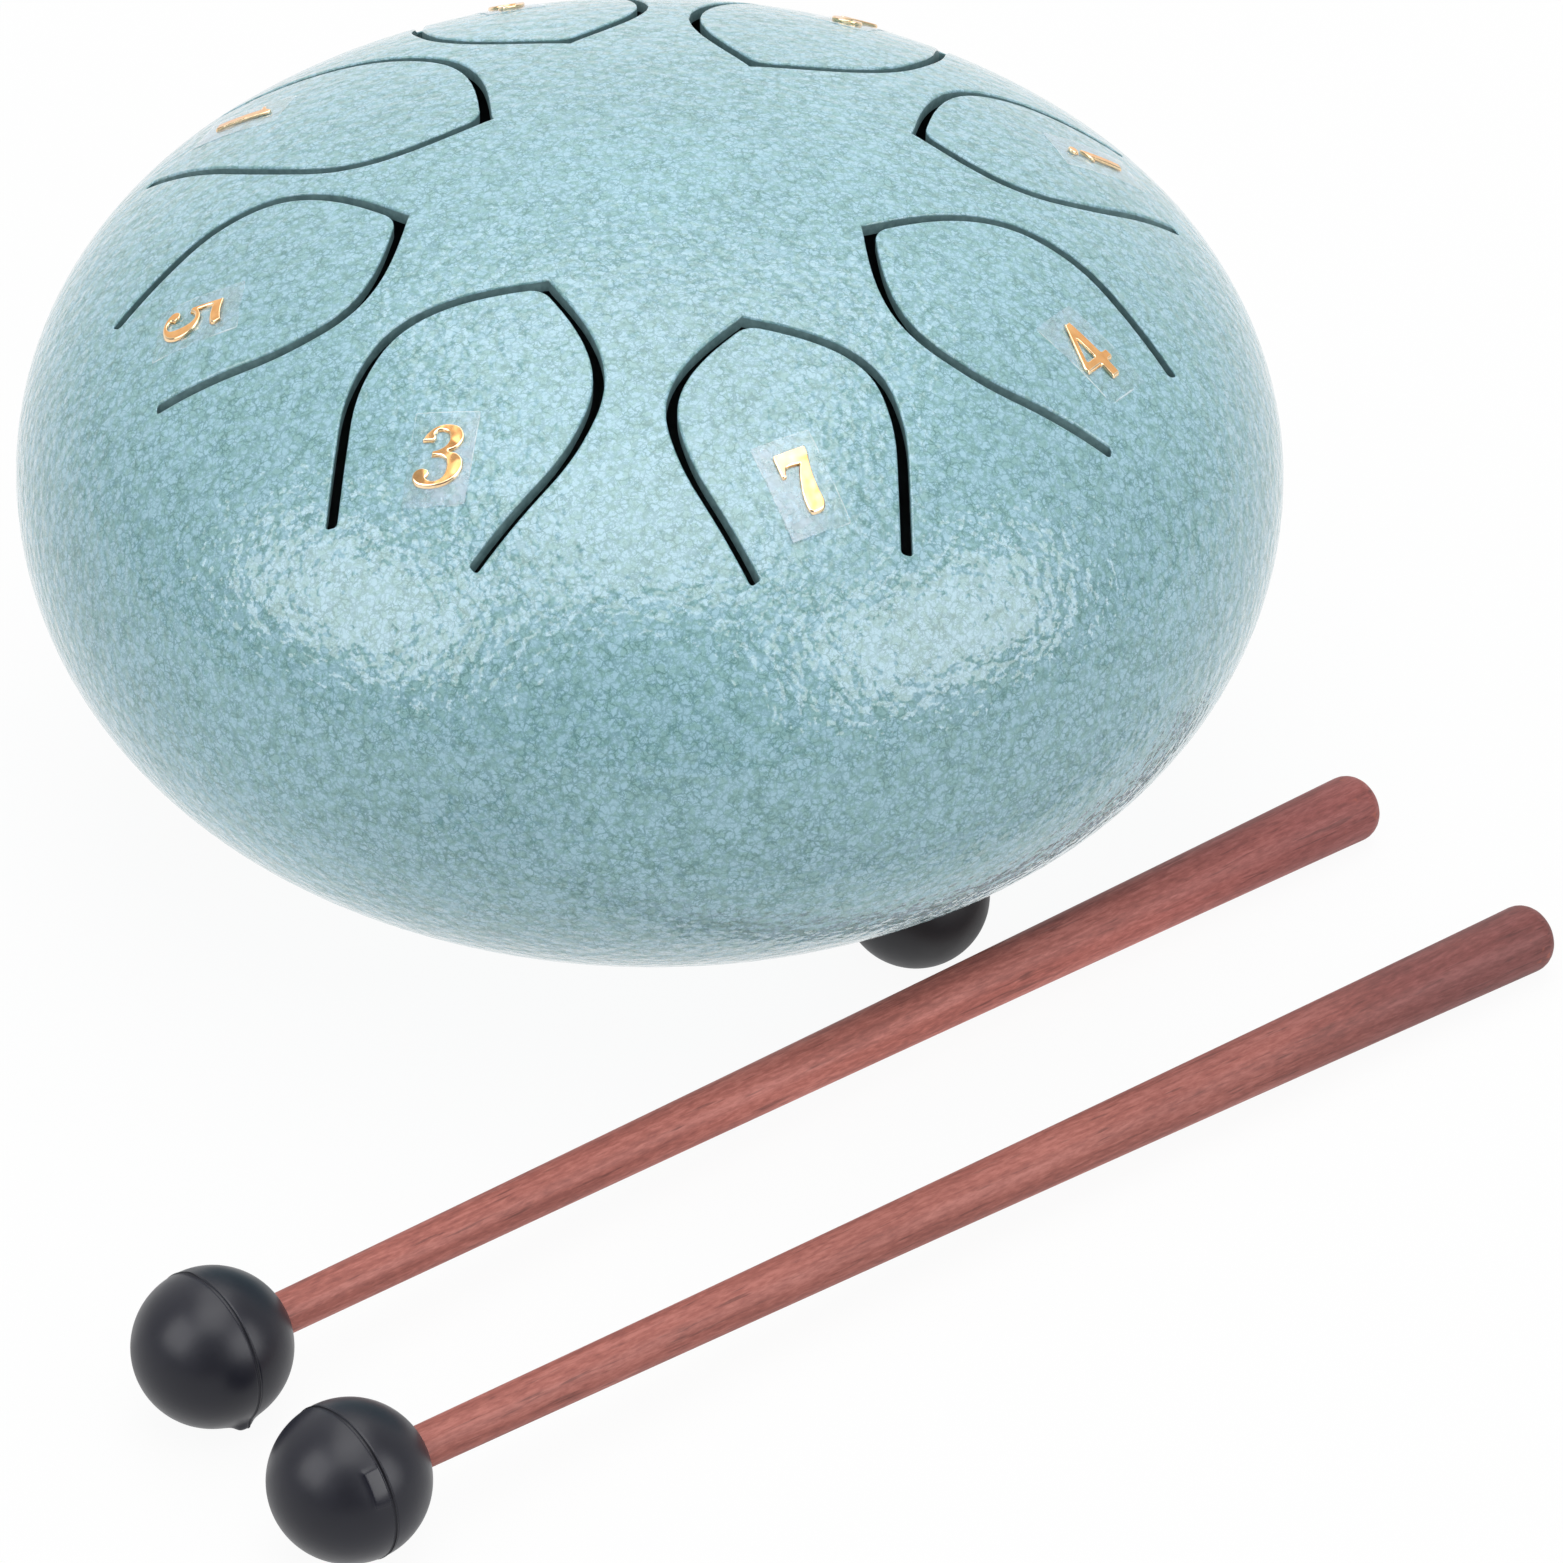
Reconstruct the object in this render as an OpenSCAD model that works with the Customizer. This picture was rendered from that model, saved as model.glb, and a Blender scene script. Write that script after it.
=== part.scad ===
// Steel tongue drum on three rubber feet, with two mallets lying in front of it.
// Millimetres. +Z is up, the player sits at -Y. The origin is the centre of the sound hole,
// on the outer face of the pressed flat base.

/* [Shells] */
// Radius of the drum at its widest line
drum_r = 77.5; // [74:0.5:90]
// Thickness of the pressed sheet steel
wall = 1.6; // [1.2:0.1:2]
// Radius of the rim arc of the top shell
top_rim_r = 34.7; // [32:0.1:38]
// Turn of that arc, from level, where the shoulder arc takes over (degrees)
top_rim_turn = 48.6; // [45:0.2:52]
// Radius of the shoulder arc of the top shell
top_shoulder_r = 60.4; // [56:0.1:64]
// Turn where the crown arc takes over (degrees)
top_shoulder_turn = 74; // [70:0.2:77]
// Radius of the rim arc of the bottom shell
base_rim_r = 37; // [35:0.1:39]
// Turn of that arc where the lower shoulder arc takes over (degrees)
base_rim_turn = 49.5; // [47:0.2:52]
// Radius of the lower shoulder arc
base_shoulder_r = 67.1; // [64:0.1:70]
// Turn where the belly arc takes over (degrees)
base_shoulder_turn = 68.8; // [66:0.2:71]
// Height of the widest line above the flat base
base_depth = 44.5; // [43:0.1:46]
// Diameter of the sound hole in the base
sound_hole_d = 30; // [16:1:44]
// Depth of the weld groove in the seam
weld_depth = 1; // [0.5:0.1:1.1]
// Width of the weld at the outer surface
weld_w = 2; // [1.2:0.1:3]

/* [Tongues] */
// Turn of the first tongue, the high 1, from +X (degrees)
first_turn = 18.8; // [0:0.2:44]
// Distance of the tongue roots in from the widest line
root_inset = 13.2; // [12.6:0.1:15]
// Radius of the middle that stays uncut, out to the longest tongue's tip
centre_r = 22.4; // [20.3:0.1:26]
// Width of the ribs of dome between the widest tongues, with half a slot on each side
rib_w = 4.37; // [3.6:0.01:7]
// Width of every tongue at its root
root_w = 18.3; // [15:0.1:20]
// Width of the cut slots
slot_w = 1.3; // [0.8:0.05:1.8]
// Running gap at the root line, where a tongue would bend
root_gap = 0.08; // [0.06:0.01:0.1]

/* [Labels] */
// Length of a label film, along the tongue
film_l = 11.2; // [10:0.1:12]
// Width of a label film
film_w = 7.7; // [7:0.1:9]
// Thickness of a label film
film_t = 0.1; // [0.06:0.01:0.15]
// Height of a numeral
numeral_h = 7.2; // [6:0.1:8]
// Thickness of a numeral
numeral_t = 0.4; // [0.2:0.05:0.6]
// Distance of the numerals in from the tongue roots
label_inset = 8.4; // [8:0.1:11]

/* [Feet] */
// Diameter of the rubber domes
foot_d = 18; // [15:0.5:19]
// Distance of the feet in from the widest line
foot_inset = 27.9; // [24:0.1:30]
// Turn of the first foot from +X (degrees)
foot_turn = -48.7; // [-60:0.5:-40]
// Depth of the flat that a foot stands on
foot_flat = 0.4; // [0.3:0.05:0.8]
// Diameter of the neck in the shell
neck_d = 5.2; // [4:0.1:6]
// Diameter of the barb inside the shell
barb_d = 7.4; // [6.6:0.1:8.4]
// Length of the barb
barb_l = 3; // [2:0.1:4]
// Radial clearance of the neck in its hole
neck_clear = 0.1; // [0.05:0.01:0.2]

/* [Mallets] */
// Overall length of a mallet
mallet_l = 187; // [150:1:220]
// Diameter of the rubber ball
ball_d = 18.4; // [16:0.2:20]
// Height of the moulding line round the ball
flash_h = 0.12; // [0.05:0.01:0.2]
// Width of the moulding line
flash_w = 0.35; // [0.2:0.05:0.6]
// Diameter of the handle at the ball
stick_d = 5; // [4:0.1:6]
// Diameter of the handle at its butt
butt_d = 8.5; // [7.5:0.1:9.5]
// Rounding of the butt
butt_round = 2.8; // [1.5:0.1:3.4]
// Depth of the socket in the ball
socket_l = 11; // [6:0.5:13]
// Radial clearance of the handle in the socket
socket_clear = 0.03; // [0.02:0.01:0.06]
// Distance of the first mallet's handle in under the drum's widest line
mallet_1_inset = 12.2; // [0:0.1:13]
// Distance of its ball from the point of the handle's line nearest to the drum's axis
ball_1_lead = 115.3; // [105:0.1:125]
// Turn of the first mallet's handle from +X (degrees)
mallet_1_turn = 39.1; // [36:0.1:40]
// Distance of the second mallet's handle out from the drum's widest line
mallet_2_outset = 18.75; // [18:0.05:40]
// Distance of its ball from the point of the handle's line nearest to the drum's axis
ball_2_lead = 114; // [105:0.1:125]
// Turn of the second mallet's handle from +X (degrees)
mallet_2_turn = 37.4; // [34:0.1:40]

/* [Hidden] */
$fn = 120;
// Flats along the arcs of a pressed shell's section
RIM_STEPS = 10;
SHOULDER_STEPS = 6;
CROWN_STEPS = 5;
// Overrun of every cut past the faces it opens
over = 2;
// Notes in the order of their tongues, anticlockwise from the first
NOTES = ["high_1", "2", "6", "1", "5", "3", "7", "4"];
note_step = 360 / len(NOTES);
// Each tongue's own proportions, in the same order
length_shares = [0.732, 0.885, 0.744, 1, 0.79, 0.86, 0.746, 0.862];
width_shares = [0.875, 1, 0.94, 0.993, 0.95, 0.953, 0.878, 0.955];
// Distance of the belly from the root, as a share of the tongue's length
belly_shares = [0.505, 0.507, 0.513, 0.556, 0.492, 0.48, 0.52, 0.48];
// Exponents of the tip's curve: how full and how pointed it is
TIP_FULLNESS = 2.6;
TIP_SHARPNESS = 1.12;
// Stretch of the tip that is rounded off, and stretch of the flanks that bends
tip_round_share = 0.07;
flank_bend_share = 0.4;
TIP_STEPS = 12;
FLANK_STEPS = 8;
// Stretch of an edge over which its direction is taken
edge_step_share = 0.01;
// Labels are stuck on by hand: each one's own distance, side step and tilt
label_inset_shares = [0.84, 0.98, 0.95, 0.95, 0.9, 1.12, 1, 0.88];
label_side_shares = [0.12, 0, 0.05, -0.1, 0.1, 0.02, -0.12, 0.15];
label_tilts = [4, 6, -5, 8, -24, 18, 8, -8];
numeral_slip_shares = [0, 0, 0, 0, 0, -0.1, 0.02, 0.03];
// Strokes of the numerals, as shares of a numeral's height from its middle
bold_share = 0.17;
thin_share = 0.06;
dot_r_share = 0.088;
PIE_STEPS = 8;
one_shares = [[-0.08, -0.5], [0.1, -0.5], [0.1, 0.5], [0.02, 0.5], [-0.2, 0.34], [-0.2, 0.26],
    [-0.08, 0.31]];
two_foot_shares = [[0.06, 0.08], [0.235, 0.1], [0.12, -0.1], [-0.1, -0.32], [0.16, -0.32],
    [0.23, -0.2], [0.29, -0.2], [0.29, -0.5], [-0.3, -0.5], [-0.3, -0.4], [-0.02, -0.1]];
four_shares = [[0.2, 0.5], [0.2, -0.12], [0.34, -0.12], [0.34, -0.26], [0.2, -0.26], [0.2, -0.5],
    [0.02, -0.5], [0.02, -0.26], [-0.34, -0.26], [-0.34, -0.16], [0.04, 0.5]];
four_eye_shares = [[0.02, -0.12], [0.02, 0.28], [-0.2, -0.12]];
five_flag_shares = [[-0.2, 0.5], [0.24, 0.5], [0.28, 0.34], [-0.141, 0.34], [-0.17, -0.04],
    [-0.235, -0.04]];
six_stem_shares = [[-0.5, -0.25], [0, -0.1], [0.24, 0.6], [-0.5, 0.6]];
seven_shares = [[-0.24, 0.5], [0.28, 0.5], [0.27, 0.36], [0.1, 0], [0.08, -0.5], [-0.12, -0.5],
    [-0.09, -0.1], [0.13, 0.33], [-0.15, 0.33], [-0.2, 0.22], [-0.26, 0.22]];
// Bows and discs: middle and radius, with the turns that a bow runs from and to
two_bow_shares = [0, 0.23, 0.27];
two_bow_turns = [-40, 150];
three_top_shares = [0, 0.25, 0.25];
three_top_turns = [-75, 140];
three_bowl_shares = [-0.01, -0.21, 0.29];
three_bowl_turns = [-150, 75];
five_bowl_shares = [-0.01, -0.19, 0.31];
five_bowl_turns = [-150, 140];
six_bowl_shares = [0, -0.21, 0.29];
six_eye_shares = [0.03, -0.21, 0.15];
six_back_shares = [0.24, -0.03, 0.53];
six_inside_shares = [0.33, -0.07, 0.45];
// Ball ends of the thin strokes
two_dot_shares = [-0.17, 0.25];
three_dot_shares = [-0.15, 0.34];
bowl_dot_shares = [-0.2, -0.33];
six_dot_shares = [0.18, 0.4];
// The high 1 is smaller, set low, with the dot of the upper octave above it
high_one_share = 0.76;
high_drop_shares = [0, -0.12];
high_dot_shares = [0, 0.41];
FOOT_COUNT = 3;
// Gap between a barb's shoulder and the curved sheet
barb_seat_gap = 0.15;
// Share of the handle's taper that is even, the rest quickens towards the butt
taper_even_share = 0.55;
TAPER_STEPS = 10;
// Clear bottom of the socket below the handle's end
socket_end_clear = 0.3;

root_u = drum_r - root_inset;
// Length and belly width of a tongue whose shares are 1
tongue_l = root_u - centre_r;
tongue_w = 2 * tan(note_step / 2) * (root_u - tongue_l * max(belly_shares)) - rib_w;
top_h = arc_top(drum_r, top_rim_r, top_rim_turn, top_shoulder_r, top_shoulder_turn);
foot_ring_r = drum_r - foot_inset;
base_shoulder_c = shoulder_centre(drum_r, base_rim_r, base_rim_turn, base_shoulder_r);
// Tilt of the bottom shell's surface at the feet, and its height there
foot_tilt = asin((foot_ring_r - base_shoulder_c.x) / base_shoulder_r);
foot_z = base_depth - base_shoulder_c.y - base_shoulder_r * cos(foot_tilt);
floor_z = foot_z - foot_d / 2 + foot_flat;
ball_rest_r = ball_d / 2 + flash_h;
// Distance from the ball's centre to the last full ring of the butt
butt_x = mallet_l - ball_d / 2 - butt_round;
mallet_tilt = asin(ball_rest_r / norm([butt_x, butt_d / 2])) - atan(butt_d / 2 / butt_x);

// Profile of a pressed shell: a rim arc, a shoulder arc and a crown arc, each tangent to the next

function shoulder_centre(r, rim_r, rim_turn, shoulder_r) =
    [r - rim_r - (shoulder_r - rim_r) * cos(rim_turn), -(shoulder_r - rim_r) * sin(rim_turn)];

function crown_radius(c, shoulder_r, turn) = (c.x + shoulder_r * cos(turn)) / cos(turn);

function crown_centre_z(c, shoulder_r, turn) =
    c.y + (shoulder_r - crown_radius(c, shoulder_r, turn)) * sin(turn);

function arc_top(r, rim_r, rim_turn, shoulder_r, turn) =
    let (c = shoulder_centre(r, rim_r, rim_turn, shoulder_r))
    crown_centre_z(c, shoulder_r, turn) + crown_radius(c, shoulder_r, turn);

function arc_points(centre, r, from, to, steps) =
    [for (i = [0:steps]) let (turn = from + (to - from) * i / steps) centre + r * [cos(turn), sin(turn)]];

function without_first(points) = [for (i = [1:len(points) - 1]) points[i]];

function without_last(points) = [for (i = [0:len(points) - 2]) points[i]];

// Half section of a solid shell, grown outwards by a distance
module shell_profile(rim_r, rim_turn, shoulder_r, shoulder_turn, grow) {
    c = shoulder_centre(drum_r, rim_r, rim_turn, shoulder_r);
    crown_c = [0, crown_centre_z(c, shoulder_r, shoulder_turn)];
    crown_r = crown_radius(c, shoulder_r, shoulder_turn);
    rim = arc_points([drum_r - rim_r, 0], rim_r + grow, 0, rim_turn, RIM_STEPS);
    shoulder = arc_points(c, shoulder_r + grow, rim_turn, shoulder_turn, SHOULDER_STEPS);
    crown = arc_points(crown_c, crown_r + grow, shoulder_turn, 90, CROWN_STEPS);
    polygon(concat([[0, 0]], rim, without_first(shoulder), without_first(crown)));
}

module top_profile(grow = 0) {
    shell_profile(top_rim_r, top_rim_turn, top_shoulder_r, top_shoulder_turn, grow);
}

// The bottom shell's section hangs below the widest line and is pressed flat at the base
module base_profile(grow = 0) {
    mirror([0, 1])
        intersection() {
            shell_profile(base_rim_r, base_rim_turn, base_shoulder_r, base_shoulder_turn, grow);
            square([2 * drum_r, base_depth + grow]);
        }
}

// Section of the weld: a V that opens outwards, before it is trimmed to the drum's surface
module weld_groove() {
    tip_x = drum_r - weld_depth;
    slope = weld_w / 2 / weld_depth;
    half = slope * (weld_depth + over);
    polygon([[tip_x, 0], [drum_r + over, half], [drum_r + over, -half]]);
}

module at_widest_line() {
    translate([0, 0, base_depth]) children();
}

// Outline of a slot's centre line: t runs from the tip (0) over the belly (1) to the root (2)

function tongue_len(k) = tongue_l * length_shares[k];

function belly_u(k) = root_u - tongue_len(k) * belly_shares[k];

function centre_line(k, t) =
    let (tip_u = root_u - tongue_len(k), half = tongue_w * width_shares[k] / 2)
    t < 1 ? [tip_u + t * (belly_u(k) - tip_u), half * pow(1 - pow(1 - t, TIP_FULLNESS), TIP_SHARPNESS)]
          : [belly_u(k) + (t - 1) * (root_u - belly_u(k)),
             half - (half - root_w / 2) * flank_fall(t - 1)];

// Fall of the flank below the belly: a parabola that runs on as a straight line
function flank_fall(v) =
    let (b = flank_bend_share, a = 1 / (2 * b - b * b))
    v < b ? a * v * v : a * (2 * b * v - b * b);

function edge_normal(k, t) =
    let (d = centre_line(k, min(t + edge_step_share, 2)) - centre_line(k, t - edge_step_share))
    [-d.y, d.x] / norm(d);

// Point of a slot's edge, a distance out from its centre line
function edge_point(k, t, out) = centre_line(k, t) + out * edge_normal(k, t);

function edge_points(k, from, out) = concat(
    [for (i = [0:TIP_STEPS - 1]) edge_point(k, from + (1 - from) * i / TIP_STEPS, out)],
    [for (i = [0:FLANK_STEPS]) edge_point(k, 1 + i / FLANK_STEPS, out)]);

function mirrored(points) = [for (i = [len(points) - 1:-1:0]) [points[i].x, -points[i].y]];

// Plan of the opening cut in the dome for a tongue and its slot, pointed at the tip
module opening_plan(k) {
    side = edge_points(k, 1 / TIP_STEPS, slot_w / 2);
    tip = centre_line(k, 0);
    lead = centre_line(k, 1 / TIP_STEPS) - tip;
    point = [tip.x - slot_w / 2 * norm(lead) / lead.y, 0];
    root = edge_point(k, 2, -slot_w / 2);
    half = concat([point], side, [root]);
    polygon(concat(half, mirrored(half)));
}

// Plan of a tongue, rounded at the tip
module tongue_plan(k) {
    side = edge_points(k, tip_round_share, -slot_w / 2);
    n = edge_normal(k, tip_round_share);
    round_r = side[0].y / n.y;
    tip = arc_points([side[0].x - round_r * n.x, 0], round_r, 180, atan2(n.y, n.x), TIP_STEPS / 2);
    half = concat(without_last(tip), side);
    intersection() {
        polygon(concat(half, without_last(mirrored(half))));
        translate([0, -tongue_w]) square([root_line_u(k) - root_gap, 2 * tongue_w]);
    }
}

function root_line_u(k) = edge_point(k, 2, -slot_w / 2).x;

module at_tongue(k) {
    rotate([0, 0, first_turn + k * note_step]) at_widest_line() children();
}

// Stands a plan on its tongue's place, from inside the drum to above it
module over_tongue(k) {
    at_tongue(k) linear_extrude(top_h + over) children();
}

// Layer that follows the top shell's outer surface between two heights above it
module top_skin(low, high) {
    at_widest_line()
        rotate_extrude()
            difference() {
                top_profile(high);
                top_profile(low);
            }
}

module top_shell() {
    color([0.55, 0.75, 0.78])
        difference() {
            at_widest_line()
                rotate_extrude()
                    difference() {
                        top_profile();
                        top_profile(-wall);
                        weld_groove();
                    }
            for (k = [0:len(NOTES) - 1]) over_tongue(k) opening_plan(k);
        }
}

module tongue(k) {
    color([0.52, 0.73, 0.76])
        intersection() {
            top_skin(-wall, 0);
            over_tongue(k) tongue_plan(k);
        }
}

// Axis of a foot, square to the bottom shell's surface: local +Z points out of the drum
module at_foot(i) {
    rotate([0, 0, foot_turn + i * 360 / FOOT_COUNT])
        translate([foot_ring_r, 0, foot_z])
            rotate([0, 180 - foot_tilt, 0]) children();
}

module base_solid() {
    at_widest_line() rotate_extrude() base_profile();
}

module bottom_shell() {
    color([0.5, 0.7, 0.73])
        difference() {
            at_widest_line()
                rotate_extrude()
                    difference() {
                        base_profile();
                        base_profile(-wall);
                        weld_groove();
                    }
            translate([0, 0, -over]) cylinder(h = base_depth, d = sound_hole_d);
            for (i = [0:FOOT_COUNT - 1])
                at_foot(i)
                    translate([0, 0, -wall - over])
                        cylinder(h = wall + 2 * over, r = neck_d / 2 + neck_clear);
        }
}

module seam_weld() {
    color([0.53, 0.73, 0.76])
        at_widest_line()
            rotate_extrude()
                intersection() {
                    union() {
                        top_profile();
                        base_profile();
                    }
                    weld_groove();
                }
}

module foot(i) {
    neck_l = wall + barb_seat_gap;
    color([0.2, 0.2, 0.22])
        union() {
            difference() {
                at_foot(i) sphere(d = foot_d);
                base_solid();
                translate([-drum_r, -drum_r, floor_z - foot_d])
                    cube([2 * drum_r, 2 * drum_r, foot_d]);
            }
            at_foot(i) {
                translate([0, 0, -neck_l]) cylinder(h = neck_l + foot_d / 4, d = neck_d);
                translate([0, 0, -neck_l - barb_l]) cylinder(h = barb_l, d1 = neck_d, d2 = barb_d);
            }
        }
}

// Puts a prism on a tongue's label: the reader looks from outside the drum to its centre
module on_label(k, slip = 0) {
    at_tongue(k)
        translate([root_u - label_inset * label_inset_shares[k], film_w * label_side_shares[k], 0])
            rotate([0, 0, label_tilts[k]])
                translate([0, film_w * slip, 0]) children();
}

module film(k) {
    color([0.85, 0.93, 0.95, 0.5])
        intersection() {
            top_skin(0, film_t);
            on_label(k) linear_extrude(top_h + over) square([film_l, film_w], center = true);
        }
}

module numeral(k) {
    color([0.85, 0.65, 0.3])
        intersection() {
            top_skin(film_t, film_t + numeral_t);
            on_label(k, numeral_slip_shares[k])
                rotate([0, 0, 90])
                    scale(numeral_h) digit(NOTES[k]);
        }
}

// Numerals one unit high, centred, built of strokes that swell and thin

// One stroke of a numeral, as a prism that reaches through its curved label
module stroke() {
    linear_extrude((top_h + over) / numeral_h) children();
}

module disc(shares, smaller = 0) {
    translate([shares.x, shares.y]) circle(shares.z - smaller);
}

module pie(shares, turns) {
    middle = [shares.x, shares.y];
    polygon(concat([middle], arc_points(middle, 2 * shares.z, turns.x, turns.y, PIE_STEPS)));
}

// Bow of a numeral: round outside, its inside shifted so that the right is bold and the left thin
module bow(shares, turns) {
    stroke()
        intersection() {
            difference() {
                disc(shares);
                translate([(thin_share - bold_share) / 2, 0])
                    disc(shares, (bold_share + thin_share) / 2);
            }
            pie(shares, turns);
        }
}

module dot(shares) {
    stroke() translate(shares) circle(dot_r_share);
}

module digit(note) {
    if (note == "high_1") {
        stroke() translate(high_drop_shares) scale(high_one_share) polygon(one_shares);
        dot(high_dot_shares);
    }
    if (note == "1") stroke() polygon(one_shares);
    if (note == "2") {
        bow(two_bow_shares, two_bow_turns);
        dot(two_dot_shares);
        stroke() polygon(two_foot_shares);
    }
    if (note == "3") {
        bow(three_top_shares, three_top_turns);
        bow(three_bowl_shares, three_bowl_turns);
        dot(three_dot_shares);
        dot(bowl_dot_shares);
    }
    if (note == "4")
        stroke()
            difference() {
                polygon(four_shares);
                polygon(four_eye_shares);
            }
    if (note == "5") {
        stroke() polygon(five_flag_shares);
        bow(five_bowl_shares, five_bowl_turns);
        dot(bowl_dot_shares);
    }
    if (note == "6") {
        stroke()
            difference() {
                disc(six_bowl_shares);
                disc(six_eye_shares);
            }
        stroke()
            intersection() {
                difference() {
                    disc(six_back_shares);
                    disc(six_inside_shares);
                }
                polygon(six_stem_shares);
            }
        dot(six_dot_shares);
    }
    if (note == "7") stroke() polygon(seven_shares);
}

// Laid on the floor, ball in front and handle behind: local +X runs along the handle
module mallet_place(i) {
    off = drum_r + (i == 1 ? -mallet_1_inset : mallet_2_outset);
    lead = i == 1 ? ball_1_lead : ball_2_lead;
    turn = i == 1 ? mallet_1_turn : mallet_2_turn;
    rotate([0, 0, turn])
        translate([-lead, -off, floor_z + ball_rest_r])
            rotate([0, 90 + mallet_tilt, 0]) children();
}

module mallet_handle(i) {
    end = ball_d / 2 - socket_l;
    start = ball_d / 2;
    function stick_r(s) = (stick_d + (butt_d - stick_d)
        * (taper_even_share * s + (1 - taper_even_share) * s * s)) / 2;
    taper = [for (j = [0:TAPER_STEPS]) let (s = j / TAPER_STEPS)
        [stick_r(s), start + s * (butt_x - start)]];
    color([0.55, 0.27, 0.22])
        mallet_place(i)
            rotate_extrude() {
                polygon(concat([[0, end], [stick_d / 2, end]], taper, [[0, butt_x]]));
                intersection() {
                    translate([butt_d / 2 - butt_round, butt_x]) circle(butt_round);
                    translate([0, butt_x]) square(butt_d);
                }
                translate([0, butt_x]) square([butt_d / 2 - butt_round, butt_round]);
            }
}

module mallet_head(i) {
    bottom = ball_d / 2 - socket_l - socket_end_clear;
    color([0.2, 0.2, 0.23])
        mallet_place(i)
            difference() {
                union() {
                    sphere(d = ball_d);
                    translate([0, 0, -flash_w / 2]) cylinder(h = flash_w, r = ball_rest_r);
                }
                translate([0, 0, bottom])
                    cylinder(h = socket_l + socket_end_clear + over, r = stick_d / 2 + socket_clear);
            }
}

top_shell();
bottom_shell();
seam_weld();
for (k = [0:len(NOTES) - 1]) {
    tongue(k);
    film(k);
    numeral(k);
}
for (i = [1:FOOT_COUNT])
    foot(i - 1);
for (i = [1:2]) {
    mallet_handle(i);
    mallet_head(i);
}
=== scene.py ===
import math

import bpy
import numpy as np
from mathutils import Matrix, Vector, geometry


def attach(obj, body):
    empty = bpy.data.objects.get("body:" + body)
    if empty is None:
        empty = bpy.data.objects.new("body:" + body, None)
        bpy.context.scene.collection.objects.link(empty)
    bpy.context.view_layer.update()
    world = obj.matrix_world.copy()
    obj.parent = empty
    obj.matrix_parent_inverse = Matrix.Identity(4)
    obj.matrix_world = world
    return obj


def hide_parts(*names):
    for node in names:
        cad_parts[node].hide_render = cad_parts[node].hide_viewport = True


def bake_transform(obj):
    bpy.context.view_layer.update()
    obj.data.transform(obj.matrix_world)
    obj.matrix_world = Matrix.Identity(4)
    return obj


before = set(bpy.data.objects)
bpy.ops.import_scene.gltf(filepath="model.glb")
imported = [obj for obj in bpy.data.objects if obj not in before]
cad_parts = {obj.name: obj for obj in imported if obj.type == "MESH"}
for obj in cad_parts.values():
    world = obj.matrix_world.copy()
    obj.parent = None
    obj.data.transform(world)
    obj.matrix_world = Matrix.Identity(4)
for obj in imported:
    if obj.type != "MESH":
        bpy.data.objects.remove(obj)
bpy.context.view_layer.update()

# Everything is worked out in millimetres and made in metres.
MM = 0.001
DRUM_R, WALL, BASE_DEPTH = 77.5, 1.6, 44.5
TOP_ARCS = (34.7, 48.6, 60.4, 74.0)
BASE_ARCS = (37.0, 49.5, 67.1, 68.8)
SOUND_HOLE_R, FOOT_HOLE_R = 15.0, 2.7
NOTES = ("high_1", "2", "6", "1", "5", "3", "7", "4")
FIRST_TURN = 18.8
ROOT_U = DRUM_R - 13.2
TONGUE_L = ROOT_U - 22.4
ROOT_W, SLOT_W, BEND, TIP_ROUND = 18.3, 1.3, 0.4, 0.07
LENGTHS = (0.732, 0.885, 0.744, 1, 0.79, 0.86, 0.746, 0.862)
WIDTHS = (0.875, 1, 0.94, 0.993, 0.95, 0.953, 0.878, 0.955)
BELLIES = (0.505, 0.507, 0.513, 0.556, 0.492, 0.48, 0.52, 0.48)
TONGUE_W = 2 * math.tan(math.pi / 8) * (ROOT_U - TONGUE_L * max(BELLIES)) - 4.37
FOOT_R, FOOT_RING, FOOT_FLAT = 9.0, DRUM_R - 27.9, 0.4
FOOT_TURNS = (-48.7, 71.3, 191.3)
BALL_R, FLASH_H = 9.2, 0.12
MALLET_L, STICK_D, BUTT_D, BUTT_ROUND = 187.0, 5.0, 8.5, 2.8
# each mallet's distance from the drum's axis, how far its ball leads, and its turn
MALLETS = ((DRUM_R - 12.2, 115.3, 39.1), (DRUM_R + 18.75, 114.0, 37.4))
# radius of the rounding of a painted edge, rounding of a slot's end, start of the tongue pieces
FILLET, CORNER, SPLIT_IN = 0.3, 0.4, 0.5
# a length from where a tongue's piece begins towards its tip; the points it gives are not used
BLEND_L = 3.0
# how far along its side, as a share of the way to the belly, the direction of a slot's tip is taken
TIP_LEAD = 1 / 12
# points along a slot's tip, its flanks, the tongue's round tip, an end's corner and a painted edge
TIP_N, FLANK_N, TIP_ARC_N, CORNER_N, FILLET_N = 40, 26, 9, 5, 6
# points round a shell's rim and parts of a tongue's root line
RIM_N, ROOT_LINE_N = 480, 14
# a shell's points: their spacing, their distance from the rim and, as a share of the spacing, from a cut
STEP, RIM_GAP, GROUND_SHARE = 1.5, 0.05, 0.62
# rows of points that follow each cut: distance from it, and each how many-th of its points has one
SUPPORT_ROWS, SUPPORT_GAP = ((0.45, 1), (1.1, 2)), (0.25, 0.3)
# looks of a shell, in the order of its materials
PAINTED, BACK, SAWN = range(3)


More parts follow.
